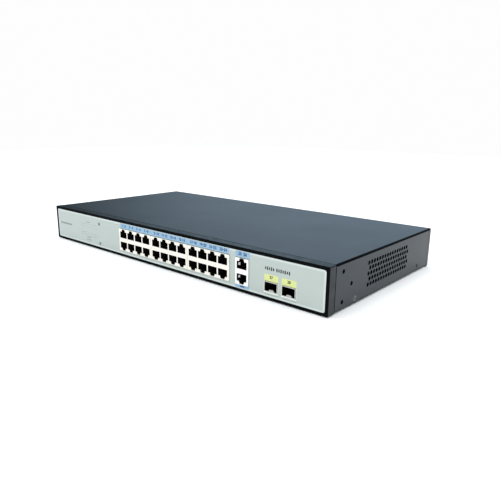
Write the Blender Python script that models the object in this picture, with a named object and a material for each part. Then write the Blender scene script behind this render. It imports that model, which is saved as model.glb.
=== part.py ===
"""A 24-port rackmount network switch, one rack unit high, as an assembly of separate pieces.

Frame: metres, +Z up. The origin is at the bottom centre of the case. The network ports face
-Y, the power inlet faces +Y, and the case rests on the plane Z = 0. The driving dimensions
are in millimetres. Positions across the front are measured from the case's centre line, and
positions from front to back are measured from the front of the bezel (front_to_y turns them
into Y).
"""

import math

import bmesh
import bpy
from mathutils import Matrix, Vector

MM = 0.001

# ---- The case -------------------------------------------------------------------------
CASE_WIDTH = 440.0
CASE_DEPTH = 216.0
CASE_HEIGHT = 44.0
SHEET = 1.2
GAP = 0.3
HALF_WIDTH = CASE_WIDTH / 2
PAN_HALF_WIDTH = HALF_WIDTH - SHEET - GAP
OVERSHOOT = 5.0
DRILL = 6.0

# ---- The front bezel and the pale panel inside it -----------------------------------------
BEZEL_DEPTH = 10.0
BEZEL_FACE = 2.0
BORDER_SIDE = 3.4
BORDER_TOP = 3.2
BORDER_BOTTOM = 2.4
PANEL_INSET = 0.3
PANEL_BACK = BEZEL_FACE
PAN_WALL_FRONT = BEZEL_FACE + GAP
PAN_WALL_BACK = PAN_WALL_FRONT + SHEET
PAN_WALL_TOP = CASE_HEIGHT - SHEET - 0.4

# ---- The sheet-metal pan, cover and rear panel --------------------------------------------
COVER_FRONT = BEZEL_DEPTH + GAP
COVER_SIDE_BACK = 209.7
COVER_BOTTOM = 0.4
PAN_FLANGE_HEIGHT = 9.5
PAN_BACK = CASE_DEPTH - SHEET - GAP
REAR_TAB_HEIGHT = 14.0
REAR_TAB_INNER_X = 200.0
REAR_PANEL_TOP = CASE_HEIGHT - SHEET - GAP

# ---- Vent field in each side of the cover ---------------------------------------------------
VENT_ROWS = 5
VENT_COLUMNS = 16
VENT_PITCH = 5.5
VENT_ROW_PITCH = 5.3
VENT_FIRST = 68.4
VENT_TOP_ROW = 33.9
VENT_STAGGER = 2.7
VENT_RADIUS = 1.7
VENT_SIDES = 6

# ---- Rack-ear holes and cover screws, as (from the front, height) ---------------------------
EAR_HOLES = ((22.0, 35.7), (37.0, 21.5), (22.0, 7.8))
EAR_HOLE_RADIUS = 1.75
COVER_SCREWS = ((45.3, 5.2), (183.1, 6.4))
SCREW_HEAD_RADIUS = 2.7
SCREW_SHANK_RADIUS = 1.35
SCREW_LENGTH = 5.0

# ---- Network jacks: three modules of two rows by four columns -------------------------------
JACK_FRONT = -0.8
JACK_MODULES = 3
JACK_COLUMNS = 4
JACK_FIRST_COLUMN = -64.7
JACK_PITCH = 14.2
MODULE_PITCH = 60.2
MODULE_DEPTH = 25.0
MODULE_BOTTOM = 7.3
MODULE_TOP = 33.6
PORT_DEPTH = 15.0
PORT_WIDTH = 11.8
SHOULDER_WIDTH = 8.0
NOTCH_WIDTH = 4.5
PORT_MIDDLE = 20.25
PORT_BODY_NEAR = 2.85
PORT_BODY_FAR = 8.75
SHOULDER_FAR = 10.75
NOTCH_FAR = 12.6
TERMINAL_FRONT = 17.0

# ---- The shielded pair of uplink jacks ------------------------------------------------------
UPLINK_X = 123.4
UPLINK_WIDTH = 16.4
UPLINK_BOTTOM = 7.0
UPLINK_TOP = 33.4
UPLINK_DEPTH = 22.8
SHIELD_WALL = 0.5
SHIELD_FACE = 2.0

# ---- The two fibre module cages -------------------------------------------------------------
CAGE_X = (158.6, 178.6)
CAGE_FRONT = -0.4
CAGE_WALL = 0.5
CAGE_OPENING = 14.2
CAGE_BOTTOM = 7.8
CAGE_TOP = 17.5
CAGE_BACK = 47.0
CAGE_TAB_WIDTH = 6.5

# ---- Indicator field and the two small buttons ----------------------------------------------
LED_COLUMNS = 12
LED_PITCH = 3.0
LED_FIRST = -157.5
LED_ROWS = (28.6, 25.4, 17.4, 14.2)
LED_WIDTH = 1.8
LED_HEIGHT = 1.1
LED_WINDOW = ((-160.5, -121.0), (11.0, 31.5))
BUTTON_X = -117.2
BUTTONS = (("mode", 32.3), ("reset", 7.3))
BUTTON_RADIUS = 1.6
BUTTON_PROUD = 0.5
BUTTON_TRAVEL = 0.6
COLLAR_RADIUS = 2.6

# ---- Boards -----------------------------------------------------------------------------------
BOARD_BOTTOM = 5.4
BOARD_TOP = 7.0
ON_BOARD = BOARD_TOP + GAP
MAIN_BOARD_X = (-175.0, 210.0)
MAIN_BOARD_Y = (4.0, 126.0)
POWER_BOARD_X = (-160.0, 30.0)
POWER_BOARD_Y = (136.0, 188.0)
STANDOFF_RADIUS = 2.8
STANDOFF_INSET = 6.0
LED_BOARD_FRONT = 12.0

# ---- Fans in the left side ----------------------------------------------------------------------
FAN_SIZE = 40.0
FAN_THICKNESS = 10.0
FAN_BORE = 18.8
FAN_HUB = 8.5
FAN_BLADES = 7
FAN_X = -211.5
FAN_Z = 22.3
FAN_CENTRES = (88.7, 130.7)

# ---- Rear panel fittings --------------------------------------------------------------------------
INLET_X = -150.0
INLET_Z = 21.5
INLET_BODY = (27.0, 19.6)
INLET_FLANGE = (30.6, 23.2)
INLET_CAVITY = (24.4, 16.6)
INLET_DEPTH = 21.0
INLET_CAVITY_DEPTH = 16.0
INLET_CHAMFER = 4.5
PIN_THICKNESS = 2.0
PIN_WIDTH = 4.0
PIN_RECESS = 5.0
ROCKER_X = -112.0
ROCKER_Z = 21.5
ROCKER_BODY = (13.0, 19.0)
ROCKER_FLANGE = (15.0, 21.4)
ROCKER_POCKET = (10.6, 17.2)
ROCKER_TILT = 10.0
GROUND_X = -78.0
GROUND_Z = 13.0
GROUND_HEAD_RADIUS = 3.8
GROUND_SHANK_RADIUS = 1.9
REAR_SCREW_X = 209.0
REAR_SCREW_Z = 7.5


def front_to_y(distance):
    """The Y, in millimetres, of a point this far behind the front of the bezel."""
    return distance - CASE_DEPTH / 2


def collection(name):
    made = bpy.data.collections.new(name)
    bpy.context.scene.collection.children.link(made)
    return made


def clear_scene():
    for obj in list(bpy.data.objects):
        bpy.data.objects.remove(obj, do_unlink=True)


def linear(value):
    """One 0 to 255 sRGB channel as the linear value that a shader takes."""
    part = value / 255
    if part <= 0.04045:
        return part / 12.92
    return ((part + 0.055) / 1.055) ** 2.4


def material(name, colour, roughness, metallic=0.0):
    made = bpy.data.materials.new(name)
    made.use_nodes = True
    shader = made.node_tree.nodes["Principled BSDF"]
    shader.inputs["Base Color"].default_value = [linear(c) for c in colour] + [1.0]
    shader.inputs["Roughness"].default_value = roughness
    shader.inputs["Metallic"].default_value = metallic
    return made


def new_object(name, mesh, place, surface=None):
    """An object with this mesh at a place given in millimetres; without a surface, a cutter."""
    obj = bpy.data.objects.new(name, mesh)
    obj.location = Vector(place) * MM
    if surface is None:
        CUTTERS.objects.link(obj)
        obj.hide_render = True
        obj.display_type = "WIRE"
    else:
        PARTS.objects.link(obj)
        mesh.materials.append(surface)
    return obj


def add_cube(bm, size, centre, turn=None):
    """Adds a box to a mesh being built: size and centre in millimetres, turned about its centre."""
    matrix = Matrix.Translation(Vector(centre) * MM)
    if turn is not None:
        matrix = matrix @ turn
    matrix = matrix @ Matrix.Diagonal((size[0] * MM, size[1] * MM, size[2] * MM, 1.0))
    bmesh.ops.create_cube(bm, size=1.0, matrix=matrix)


def spans(x, y, z):
    """The size and the centre of the box between three pairs of limits."""
    size = (x[1] - x[0], y[1] - y[0], z[1] - z[0])
    centre = ((x[0] + x[1]) / 2, (y[0] + y[1]) / 2, (z[0] + z[1]) / 2)
    return size, centre


def box(name, x, y, z, surface=None):
    """A box between limits across (x), behind the bezel's front (y) and above the base (z)."""
    size, centre = spans(x, (front_to_y(y[0]), front_to_y(y[1])), z)
    bm = bmesh.new()
    add_cube(bm, size, (0.0, 0.0, 0.0))
    mesh = bpy.data.meshes.new(name)
    bm.to_mesh(mesh)
    bm.free()
    return new_object(name, mesh, centre, surface)


def boxes(name, limits, surface=None):
    """Separate boxes in one mesh, for cutting or joining many places at once."""
    bm = bmesh.new()
    for x, y, z in limits:
        size, centre = spans(x, (front_to_y(y[0]), front_to_y(y[1])), z)
        add_cube(bm, size, centre)
    mesh = bpy.data.meshes.new(name)
    bm.to_mesh(mesh)
    bm.free()
    return new_object(name, mesh, (0.0, 0.0, 0.0), surface)


AXIS_TURN = {
    "x": Matrix.Rotation(math.radians(90), 4, "Y"),
    "y": Matrix.Rotation(math.radians(-90), 4, "X"),
    "z": Matrix.Identity(4),
}


def add_rod(bm, radius, length, centre, axis, sides, end_radius=None):
    """Adds a round rod; end_radius is its radius at the far end along the axis."""
    matrix = Matrix.Translation(Vector(centre) * MM) @ AXIS_TURN[axis]
    bmesh.ops.create_cone(
        bm,
        cap_ends=True,
        segments=sides,
        radius1=radius * MM,
        radius2=(radius if end_radius is None else end_radius) * MM,
        depth=length * MM,
        matrix=matrix,
    )


def rod(name, radius, length, place, axis, surface=None, sides=20, end_radius=None):
    """A round rod centred at a place given as x, distance behind the bezel's front, and z."""
    bm = bmesh.new()
    add_rod(bm, radius, length, (0.0, 0.0, 0.0), axis, sides, end_radius)
    mesh = bpy.data.meshes.new(name)
    bm.to_mesh(mesh)
    bm.free()
    mesh.shade_smooth()
    mesh.set_sharp_from_angle(angle=math.radians(35))
    return new_object(name, mesh, (place[0], front_to_y(place[1]), place[2]), surface)


def rods(name, radius, length, places, axis, sides=20):
    """A cutter of separate equal rods."""
    bm = bmesh.new()
    for x, y, z in places:
        add_rod(bm, radius, length, (x, front_to_y(y), z), axis, sides)
    mesh = bpy.data.meshes.new(name)
    bm.to_mesh(mesh)
    bm.free()
    return new_object(name, mesh, (0.0, 0.0, 0.0))


def boolean(target, operation, tools):
    for tool in tools:
        modifier = target.modifiers.new(tool.name, "BOOLEAN")
        modifier.operation = operation
        modifier.solver = "EXACT"
        modifier.object = tool
    return target


def cut(target, *tools):
    return boolean(target, "DIFFERENCE", tools)


def join(target, *tools):
    return boolean(target, "UNION", tools)


def outline_mesh(name, points, thickness):
    """A flat outline in X and Y, in millimetres, as a closed slab of this thickness along Z."""
    curve = bpy.data.curves.new(name, "CURVE")
    curve.dimensions = "2D"
    curve.fill_mode = "BOTH"
    curve.extrude = thickness * MM / 2
    spline = curve.splines.new("POLY")
    spline.points.add(len(points) - 1)
    for point, (x, y) in zip(spline.points, points):
        point.co = (x * MM, y * MM, 0.0, 1.0)
    spline.use_cyclic_u = True
    flat = bpy.data.objects.new(name, curve)
    CUTTERS.objects.link(flat)
    graph = bpy.context.evaluated_depsgraph_get()
    mesh = bpy.data.meshes.new_from_object(flat.evaluated_get(graph))
    bpy.data.objects.remove(flat, do_unlink=True)
    bm = bmesh.new()
    bm.from_mesh(mesh)
    bmesh.ops.remove_doubles(bm, verts=bm.verts, dist=1e-6)
    bmesh.ops.recalc_face_normals(bm, faces=bm.faces)
    bm.to_mesh(mesh)
    bm.free()
    return mesh


def wire(name, points, radius, surface):
    """A wire or bundle along points given as x, distance behind the front, and z."""
    curve = bpy.data.curves.new(name, "CURVE")
    curve.dimensions = "3D"
    curve.bevel_depth = radius * MM
    curve.bevel_resolution = 2
    curve.use_fill_caps = True
    spline = curve.splines.new("POLY")
    spline.points.add(len(points) - 1)
    for point, (x, y, z) in zip(spline.points, points):
        point.co = (x * MM, front_to_y(y) * MM, z * MM, 1.0)
    obj = bpy.data.objects.new(name, curve)
    curve.materials.append(surface)
    PARTS.objects.link(obj)
    return obj


def arch(start, end, rise, count=13):
    """Points of a half-ellipse standing over the line from start to end."""
    found = []
    for step in range(count):
        angle = math.pi * step / (count - 1)
        share = (1 - math.cos(angle)) / 2
        point = [a + (b - a) * share for a, b in zip(start, end)]
        point[2] += rise * math.sin(angle)
        found.append(tuple(point))
    return found


# ---- Where the front openings are ---------------------------------------------------------------
def module_centre(index):
    return JACK_FIRST_COLUMN + 1.5 * JACK_PITCH + index * MODULE_PITCH


def module_limits(index):
    half = (MODULE_PITCH - GAP) / 2
    return module_centre(index) - half, module_centre(index) + half


def port_centres(index):
    first = JACK_FIRST_COLUMN + index * MODULE_PITCH
    return [first + column * JACK_PITCH for column in range(JACK_COLUMNS)]


def grown(limits, by):
    return limits[0] - by, limits[1] + by


def front_windows(by, depth):
    """The openings for the jacks and cages, this much larger than what stands in them."""
    left = module_limits(0)[0]
    right = module_limits(JACK_MODULES - 1)[1]
    found = [(grown((left, right), by), depth, grown((MODULE_BOTTOM, MODULE_TOP), by))]
    uplink = (UPLINK_X - UPLINK_WIDTH / 2, UPLINK_X + UPLINK_WIDTH / 2)
    found.append((grown(uplink, by), depth, grown((UPLINK_BOTTOM, UPLINK_TOP), by)))
    for x in CAGE_X:
        half = CAGE_OPENING / 2 + CAGE_WALL
        found.append((grown((x - half, x + half), by), depth, grown((CAGE_BOTTOM, CAGE_TOP), by)))
    return found


def port_cutters(name, centres, front, depth, grow=0.0):
    """Three cutters that together open each port: its body, its shoulder and its latch notch."""
    stages = (
        ("body", PORT_WIDTH, PORT_BODY_NEAR, PORT_BODY_FAR),
        ("shoulder", SHOULDER_WIDTH, PORT_BODY_NEAR + 1.0, SHOULDER_FAR),
        ("notch", NOTCH_WIDTH, PORT_BODY_NEAR + 2.0, NOTCH_FAR),
    )
    made = []
    for stage, width, near, far in stages:
        limits = []
        for x in centres:
            for side in (1, -1):
                z = sorted((PORT_MIDDLE + side * (near - grow), PORT_MIDDLE + side * (far + grow)))
                across = grown((x - width / 2, x + width / 2), grow)
                limits.append((across, (front - OVERSHOOT, front + depth), z))
        made.append(boxes(f"{name}_{stage}_cut", limits))
    return made


# ---- The case ---------------------------------------------------------------------------------------
def screw_places():
    """Each side screw: its side (1 is +X), distance behind the front, and height."""
    return [(side, y, z) for side in (1, -1) for y, z in COVER_SCREWS]


def make_base_pan():
    pan = box(
        "base_pan",
        (-PAN_HALF_WIDTH, PAN_HALF_WIDTH),
        (PAN_WALL_FRONT, PAN_BACK),
        (0.0, PAN_WALL_TOP),
        STEEL_DARK,
    )
    inner = PAN_HALF_WIDTH - SHEET
    rear_wall = PAN_BACK - SHEET
    wide = HALF_WIDTH + OVERSHOOT
    above = CASE_HEIGHT + OVERSHOOT
    cavity = box("pan_cavity_cut", (-inner, inner), (PAN_WALL_BACK, rear_wall), (SHEET, above))
    sides = box(
        "pan_sides_cut",
        (-wide, wide),
        (PAN_WALL_BACK, rear_wall + 0.1),
        (PAN_FLANGE_HEIGHT, above),
    )
    rear_middle = box(
        "pan_rear_middle_cut",
        (-REAR_TAB_INNER_X, REAR_TAB_INNER_X),
        (rear_wall - 1.0, CASE_DEPTH),
        (SHEET, above),
    )
    rear_top = box(
        "pan_rear_top_cut",
        (-wide, wide),
        (rear_wall - 1.0, CASE_DEPTH),
        (REAR_TAB_HEIGHT, above),
    )
    depth = (PAN_WALL_FRONT - 1.0, PAN_WALL_BACK + 1.0)
    jacks, uplink, first_cage, last_cage = front_windows(0.6, depth)
    both_cages = ((first_cage[0][0], last_cage[0][1]), depth, first_cage[2])
    openings = [jacks, uplink, both_cages, (LED_WINDOW[0], depth, LED_WINDOW[1])]
    windows = boxes("pan_front_windows_cut", openings)
    button_places = [(BUTTON_X, PAN_WALL_FRONT, z) for _, z in BUTTONS]
    buttons = rods("pan_button_holes_cut", COLLAR_RADIUS + GAP, DRILL, button_places, "y", 16)
    side_holes = [(side * PAN_HALF_WIDTH, y, z) for side, y, z in screw_places()]
    lowest_ear = EAR_HOLES[-1]
    ear_holes = [(side * PAN_HALF_WIDTH, *lowest_ear) for side in (1, -1)]
    screws = rods("pan_side_holes_cut", SCREW_SHANK_RADIUS + GAP, DRILL, side_holes, "x", 12)
    ears = rods("pan_ear_holes_cut", EAR_HOLE_RADIUS, DRILL, ear_holes, "x", 12)
    rear_places = rear_screw_places(PAN_BACK)
    rear = rods("pan_rear_holes_cut", SCREW_SHANK_RADIUS + GAP, DRILL, rear_places, "y", 12)
    return cut(pan, cavity, sides, rear_middle, rear_top, windows, buttons, screws, ears, rear)


def vent_places(side):
    """The centres of the staggered ventilation holes in one side of the cover."""
    found = []
    for row in range(VENT_ROWS):
        start = VENT_FIRST + (VENT_STAGGER if row % 2 else 0.0)
        for column in range(VENT_COLUMNS):
            y = start + column * VENT_PITCH
            found.append((side * (HALF_WIDTH - SHEET / 2), y, VENT_TOP_ROW - row * VENT_ROW_PITCH))
    return found


def make_top_cover():
    across = (-HALF_WIDTH, HALF_WIDTH)
    height = (COVER_BOTTOM, CASE_HEIGHT)
    cover = box("top_cover", across, (COVER_FRONT, CASE_DEPTH), height, BLACK_STEEL)
    inner = HALF_WIDTH - SHEET
    wide = HALF_WIDTH + OVERSHOOT
    under = box(
        "cover_inside_cut",
        (-inner, inner),
        (0.0, CASE_DEPTH + OVERSHOOT),
        (-OVERSHOOT, CASE_HEIGHT - SHEET),
    )
    rear = box(
        "cover_rear_cut",
        (-wide, wide),
        (COVER_SIDE_BACK, CASE_DEPTH + OVERSHOOT),
        (-OVERSHOOT, CASE_HEIGHT - SHEET),
    )
    vents = rods("cover_vents_cut", VENT_RADIUS, DRILL, vent_places(1) + vent_places(-1), "x", VENT_SIDES)
    middle = HALF_WIDTH - SHEET / 2
    ear_places = [(side * middle, y, z) for side in (1, -1) for y, z in EAR_HOLES]
    ears = rods("cover_ear_holes_cut", EAR_HOLE_RADIUS, DRILL, ear_places, "x", 12)
    sinks = [make_countersink(index, *place) for index, place in enumerate(screw_places(), 1)]
    return cut(cover, under, rear, vents, ears, *sinks)


def make_countersink(index, side, y, z):
    """The cone that clears one countersunk screw, widening outwards."""
    slope = (SCREW_HEAD_RADIUS - SCREW_SHANK_RADIUS) / SHEET
    outer = SCREW_HEAD_RADIUS + GAP + slope * SHEET
    inner = SCREW_SHANK_RADIUS + GAP - slope * SHEET
    radii = (inner, outer) if side > 0 else (outer, inner)
    place = (side * (HALF_WIDTH - SHEET / 2), y, z)
    return rod(f"countersink_{index}_cut", radii[0], 3 * SHEET, place, "x", None, 12, radii[1])


def make_cover_screws():
    for index, (side, y, z) in enumerate(screw_places(), 1):
        outside = HALF_WIDTH - 0.1
        radii = (SCREW_SHANK_RADIUS, SCREW_HEAD_RADIUS)
        if side < 0:
            radii = (SCREW_HEAD_RADIUS, SCREW_SHANK_RADIUS)
        surface = ZINC if y < CASE_DEPTH / 2 else BLACK_ZINC
        head_place = (side * (outside - SHEET / 2), y, z)
        screw = rod(f"cover_screw_{index}", radii[0], SHEET, head_place, "x", surface, 12, radii[1])
        shank_place = (side * (outside - SHEET - SCREW_LENGTH / 2 + GAP), y, z)
        shank_name = f"cover_screw_{index}_shank"
        join(screw, rod(shank_name, SCREW_SHANK_RADIUS, SCREW_LENGTH, shank_place, "x", None, 12))


def make_front_bezel():
    across = (-HALF_WIDTH, HALF_WIDTH)
    bezel = box("front_bezel", across, (0.0, BEZEL_DEPTH), (0.0, CASE_HEIGHT), BLACK_PLASTIC)
    window = box(
        "bezel_window_cut",
        (-HALF_WIDTH + BORDER_SIDE, HALF_WIDTH - BORDER_SIDE),
        (-OVERSHOOT, BEZEL_DEPTH + OVERSHOOT),
        (BORDER_BOTTOM, CASE_HEIGHT - BORDER_TOP),
    )
    behind = box(
        "bezel_cavity_cut",
        (-HALF_WIDTH + SHEET, HALF_WIDTH - SHEET),
        (BEZEL_FACE, BEZEL_DEPTH + OVERSHOOT),
        (-OVERSHOOT, CASE_HEIGHT - SHEET),
    )
    return cut(bezel, window, behind)


def led_places():
    return [(LED_FIRST + column * LED_PITCH, z) for z in LED_ROWS for column in range(LED_COLUMNS)]


def make_front_panel():
    panel = box(
        "front_panel",
        (-HALF_WIDTH + BORDER_SIDE + GAP, HALF_WIDTH - BORDER_SIDE - GAP),
        (PANEL_INSET, PANEL_BACK),
        (BORDER_BOTTOM + GAP, CASE_HEIGHT - BORDER_TOP - GAP),
        PALE_PANEL,
    )
    depth = (-1.0, PANEL_BACK + 1.0)
    openings = front_windows(GAP, depth)
    for x, z in led_places():
        across = (x - LED_WIDTH / 2, x + LED_WIDTH / 2)
        openings.append((across, depth, (z - LED_HEIGHT / 2, z + LED_HEIGHT / 2)))
    windows = boxes("panel_windows_cut", openings)
    places = [(BUTTON_X, 1.0, z) for _, z in BUTTONS]
    buttons = rods("panel_button_holes_cut", BUTTON_RADIUS + GAP, DRILL, places, "y", 16)
    return cut(panel, windows, buttons)


def rear_screw_places(distance):
    return [(side * REAR_SCREW_X, distance, REAR_SCREW_Z) for side in (1, -1)]


def make_rear_panel():
    front = COVER_SIDE_BACK + GAP
    across = (-HALF_WIDTH, HALF_WIDTH)
    panel = box("rear_panel", across, (front, CASE_DEPTH), (0.0, REAR_PANEL_TOP), BLACK_STEEL)
    inner = HALF_WIDTH - SHEET
    inside = box(
        "rear_panel_inside_cut",
        (-inner, inner),
        (front - OVERSHOOT, CASE_DEPTH - SHEET),
        (-OVERSHOOT, CASE_HEIGHT),
    )
    depth = (CASE_DEPTH - 2 * SHEET, CASE_DEPTH + OVERSHOOT)
    openings = []
    for (x, z), (width, height) in (((INLET_X, INLET_Z), INLET_BODY), ((ROCKER_X, ROCKER_Z), ROCKER_BODY)):
        across = grown((x - width / 2, x + width / 2), GAP)
        openings.append((across, depth, grown((z - height / 2, z + height / 2), GAP)))
    windows = boxes("rear_panel_windows_cut", openings)
    screw_holes = rear_screw_places(CASE_DEPTH)
    holes = rods("rear_panel_holes_cut", SCREW_SHANK_RADIUS + GAP, DRILL, screw_holes, "y", 12)
    ground_hole = [(GROUND_X, CASE_DEPTH, GROUND_Z)]
    ground = rods("rear_panel_ground_cut", GROUND_SHANK_RADIUS + GAP, DRILL, ground_hole, "y", 12)
    return cut(panel, inside, windows, holes, ground)


def pan_head_screw(name, x, z, head_radius, shank_radius, surface):
    """A round-headed screw driven into the rear panel from behind."""
    head_height = 1.9
    head = rod(
        name,
        head_radius,
        head_height,
        (x, CASE_DEPTH + GAP + head_height / 2, z),
        "y",
        surface,
        16,
        head_radius * 0.7,
    )
    length = 7.0
    shank = rod(f"{name}_shank", shank_radius, length, (x, CASE_DEPTH + 1.0 - length / 2, z), "y", None, 12)
    return join(head, shank)


def make_rear_screws():
    for index, (x, _, z) in enumerate(rear_screw_places(CASE_DEPTH), 1):
        pan_head_screw(f"rear_panel_screw_{index}", x, z, 2.8, SCREW_SHANK_RADIUS, BLACK_ZINC)
    pan_head_screw("ground_screw", GROUND_X, GROUND_Z, GROUND_HEAD_RADIUS, GROUND_SHANK_RADIUS, ZINC)


# ---- Jacks and cages -------------------------------------------------------------------------------
def make_jack_module(index):
    number = index + 1
    back = JACK_FRONT + MODULE_DEPTH
    housing = box(
        f"jack_module_{number}",
        module_limits(index),
        (JACK_FRONT, back),
        (MODULE_BOTTOM, MODULE_TOP),
        WHITE_PLASTIC,
    )
    ports = port_cutters(f"jack_module_{number}", port_centres(index), JACK_FRONT, PORT_DEPTH)
    low, high = module_limits(index)
    wall = 2.0
    rear_cavity = box(
        f"jack_module_{number}_rear_cut",
        (low + wall, high - wall),
        (TERMINAL_FRONT, back + OVERSHOOT),
        (MODULE_BOTTOM + wall, MODULE_TOP - wall),
    )
    cut(housing, *ports, rear_cavity)
    clear = wall + GAP
    carrier = box(
        f"jack_terminals_{number}",
        (low + clear, high - clear),
        (TERMINAL_FRONT + GAP, back),
        (MODULE_BOTTOM + clear, MODULE_TOP - clear),
        BLACK_PLASTIC,
    )
    centres = port_centres(index)
    slots = []
    for left, right in zip(centres, centres[1:]):
        middle = (left + right) / 2
        slots.append(((middle - 1.0, middle + 1.0), (back - 3.0, back + OVERSHOOT), (0.0, CASE_HEIGHT)))
    cut(carrier, boxes(f"jack_terminals_{number}_cut", slots))


def make_uplink():
    across = (UPLINK_X - UPLINK_WIDTH / 2, UPLINK_X + UPLINK_WIDTH / 2)
    back = JACK_FRONT + UPLINK_DEPTH
    shield = box("uplink_shield", across, (JACK_FRONT, back), (UPLINK_BOTTOM, UPLINK_TOP), TIN)
    inside = box(
        "uplink_shield_inside_cut",
        grown(across, -SHIELD_WALL),
        (JACK_FRONT + SHIELD_WALL, back + OVERSHOOT),
        grown((UPLINK_BOTTOM, UPLINK_TOP), -SHIELD_WALL),
    )
    cut(shield, inside, *port_cutters("uplink_shield", [UPLINK_X], JACK_FRONT, SHIELD_FACE))
    clear = SHIELD_WALL + GAP
    insert_front = JACK_FRONT + clear
    insert = box(
        "uplink_jack",
        grown(across, -clear),
        (insert_front, back - 0.5),
        grown((UPLINK_BOTTOM, UPLINK_TOP), -clear),
        BLACK_PLASTIC,
    )
    cut(insert, *port_cutters("uplink_jack", [UPLINK_X], insert_front, PORT_DEPTH - clear, 0.15))


def make_cage(index):
    number = index + 1
    x = CAGE_X[index]
    half = CAGE_OPENING / 2
    across = (x - half - CAGE_WALL, x + half + CAGE_WALL)
    cage = box(f"sfp_cage_{number}", across, (CAGE_FRONT, CAGE_BACK), (CAGE_BOTTOM, CAGE_TOP), NICKEL)
    inside = box(
        f"sfp_cage_{number}_inside_cut",
        grown(across, -CAGE_WALL),
        (CAGE_FRONT - OVERSHOOT, CAGE_BACK - CAGE_WALL),
        grown((CAGE_BOTTOM, CAGE_TOP), -CAGE_WALL),
    )
    tab = box(
        f"sfp_cage_{number}_tab",
        (x - CAGE_TAB_WIDTH / 2, x + CAGE_TAB_WIDTH / 2),
        (CAGE_FRONT, CAGE_FRONT + 5.0),
        (CAGE_BOTTOM + CAGE_WALL / 2, CAGE_BOTTOM + 2 * CAGE_WALL + 0.6),
    )
    join(cut(cage, inside), tab)
    socket = box(
        f"sfp_connector_{number}",
        (x - 5.8, x + 5.8),
        (CAGE_BACK - 9.5, CAGE_BACK - 1.0),
        (CAGE_BOTTOM + CAGE_WALL + GAP, CAGE_BOTTOM + 6.0),
        BLACK_PLASTIC,
    )
    slot = (CAGE_BOTTOM + 2.4, CAGE_BOTTOM + 4.2)
    depth = (CAGE_BACK - 12.0, CAGE_BACK - 4.0)
    cut(socket, box(f"sfp_connector_{number}_cut", grown((x, x), 4.6), depth, slot))


# ---- Boards and what stands on them ------------------------------------------------------------------
def make_boards():
    main_board = box("main_board", MAIN_BOARD_X, MAIN_BOARD_Y, (BOARD_BOTTOM, BOARD_TOP), BOARD_GREEN)
    notch_y = (MAIN_BOARD_Y[0] - OVERSHOOT, LED_BOARD_FRONT)
    notch = box("main_board_notch_cut", grown((BUTTON_X, BUTTON_X), 6.0), notch_y, (0.0, CASE_HEIGHT))
    cut(main_board, notch)
    box("power_board", POWER_BOARD_X, POWER_BOARD_Y, (BOARD_BOTTOM, BOARD_TOP), BOARD_TAN)
    boards = (("board", MAIN_BOARD_X, MAIN_BOARD_Y), ("power_board", POWER_BOARD_X, POWER_BOARD_Y))
    for label, x_limits, y_limits in boards:
        corners = [(x, y) for x in grown(x_limits, -STANDOFF_INSET) for y in grown(y_limits, -STANDOFF_INSET)]
        low = SHEET + GAP
        high = BOARD_BOTTOM - GAP
        for number, (x, y) in enumerate(corners, 1):
            place = (x, y, (low + high) / 2)
            rod(f"{label}_standoff_{number}", STANDOFF_RADIUS, high - low, place, "z", BRASS, 6)


def make_led_stack():
    front = LED_BOARD_FRONT
    led_board = box("led_board", (-163.0, -110.0), (front, front + 1.6), (ON_BOARD, 38.0), BOARD_GREEN)
    notch = box("led_board_cut", (-165.0, -158.0), (front - 1.0, front + 3.0), (33.0, 40.0))
    cut(led_board, notch)
    depth = (PANEL_BACK + GAP, front - GAP)
    pipe = box("light_pipe", grown(LED_WINDOW[0], -0.6), depth, grown(LED_WINDOW[1], -0.6), CLEAR)
    middle = (LED_ROWS[1] + LED_ROWS[2]) / 2
    groove = box("light_pipe_cut", (-170.0, -110.0), (6.0, front + 1.0), grown((middle, middle), 1.5))
    cut(pipe, groove)
    for label, z in BUTTONS:
        make_button(label, z)


def make_button(label, z):
    """A push button through the panel, with the small switch that it presses."""
    front = PANEL_INSET - BUTTON_PROUD
    collar_front = PAN_WALL_BACK + 0.4
    collar_length = 1.2
    back = 7.0
    cap_place = (BUTTON_X, (front + back) / 2, z)
    cap = rod(f"{label}_button", BUTTON_RADIUS, back - front, cap_place, "y", BLACK_PLASTIC, 16)
    collar_place = (BUTTON_X, collar_front + collar_length / 2, z)
    join(cap, rod(f"{label}_button_collar", COLLAR_RADIUS, collar_length, collar_place, "y", None, 16))
    switch_front = back + BUTTON_TRAVEL + GAP
    body = (switch_front, LED_BOARD_FRONT - GAP)
    half = 2.25
    box(f"{label}_switch", grown((BUTTON_X, BUTTON_X), half), body, grown((z, z), half), ZINC)


def make_main_board_parts():
    chip_x = (0.0, 28.0)
    chip_y = (62.0, 90.0)
    box("switch_chip", chip_x, chip_y, (ON_BOARD, ON_BOARD + 2.0), BLACK_PLASTIC)
    sink_low = ON_BOARD + 2.0 + GAP
    sink_height = (sink_low, sink_low + 14.0)
    finned_block("switch_heatsink", grown(chip_x, 9.0), grown(chip_y, 9.0), sink_height, 2.5, 9)
    for index in range(JACK_MODULES):
        x = module_centre(index)
        height = (ON_BOARD, ON_BOARD + 6.0)
        block = box(f"magnetics_{index + 1}", grown((x, x), 27.0), (31.0, 43.0), height, BLACK_PLASTIC)
        limits = [((x + at - 0.8, x + at + 0.8), (30.0, 44.0), (12.3, 15.0)) for at in (-13.5, 0.0, 13.5)]
        cut(block, boxes(f"magnetics_{index + 1}_cut", limits))


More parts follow.
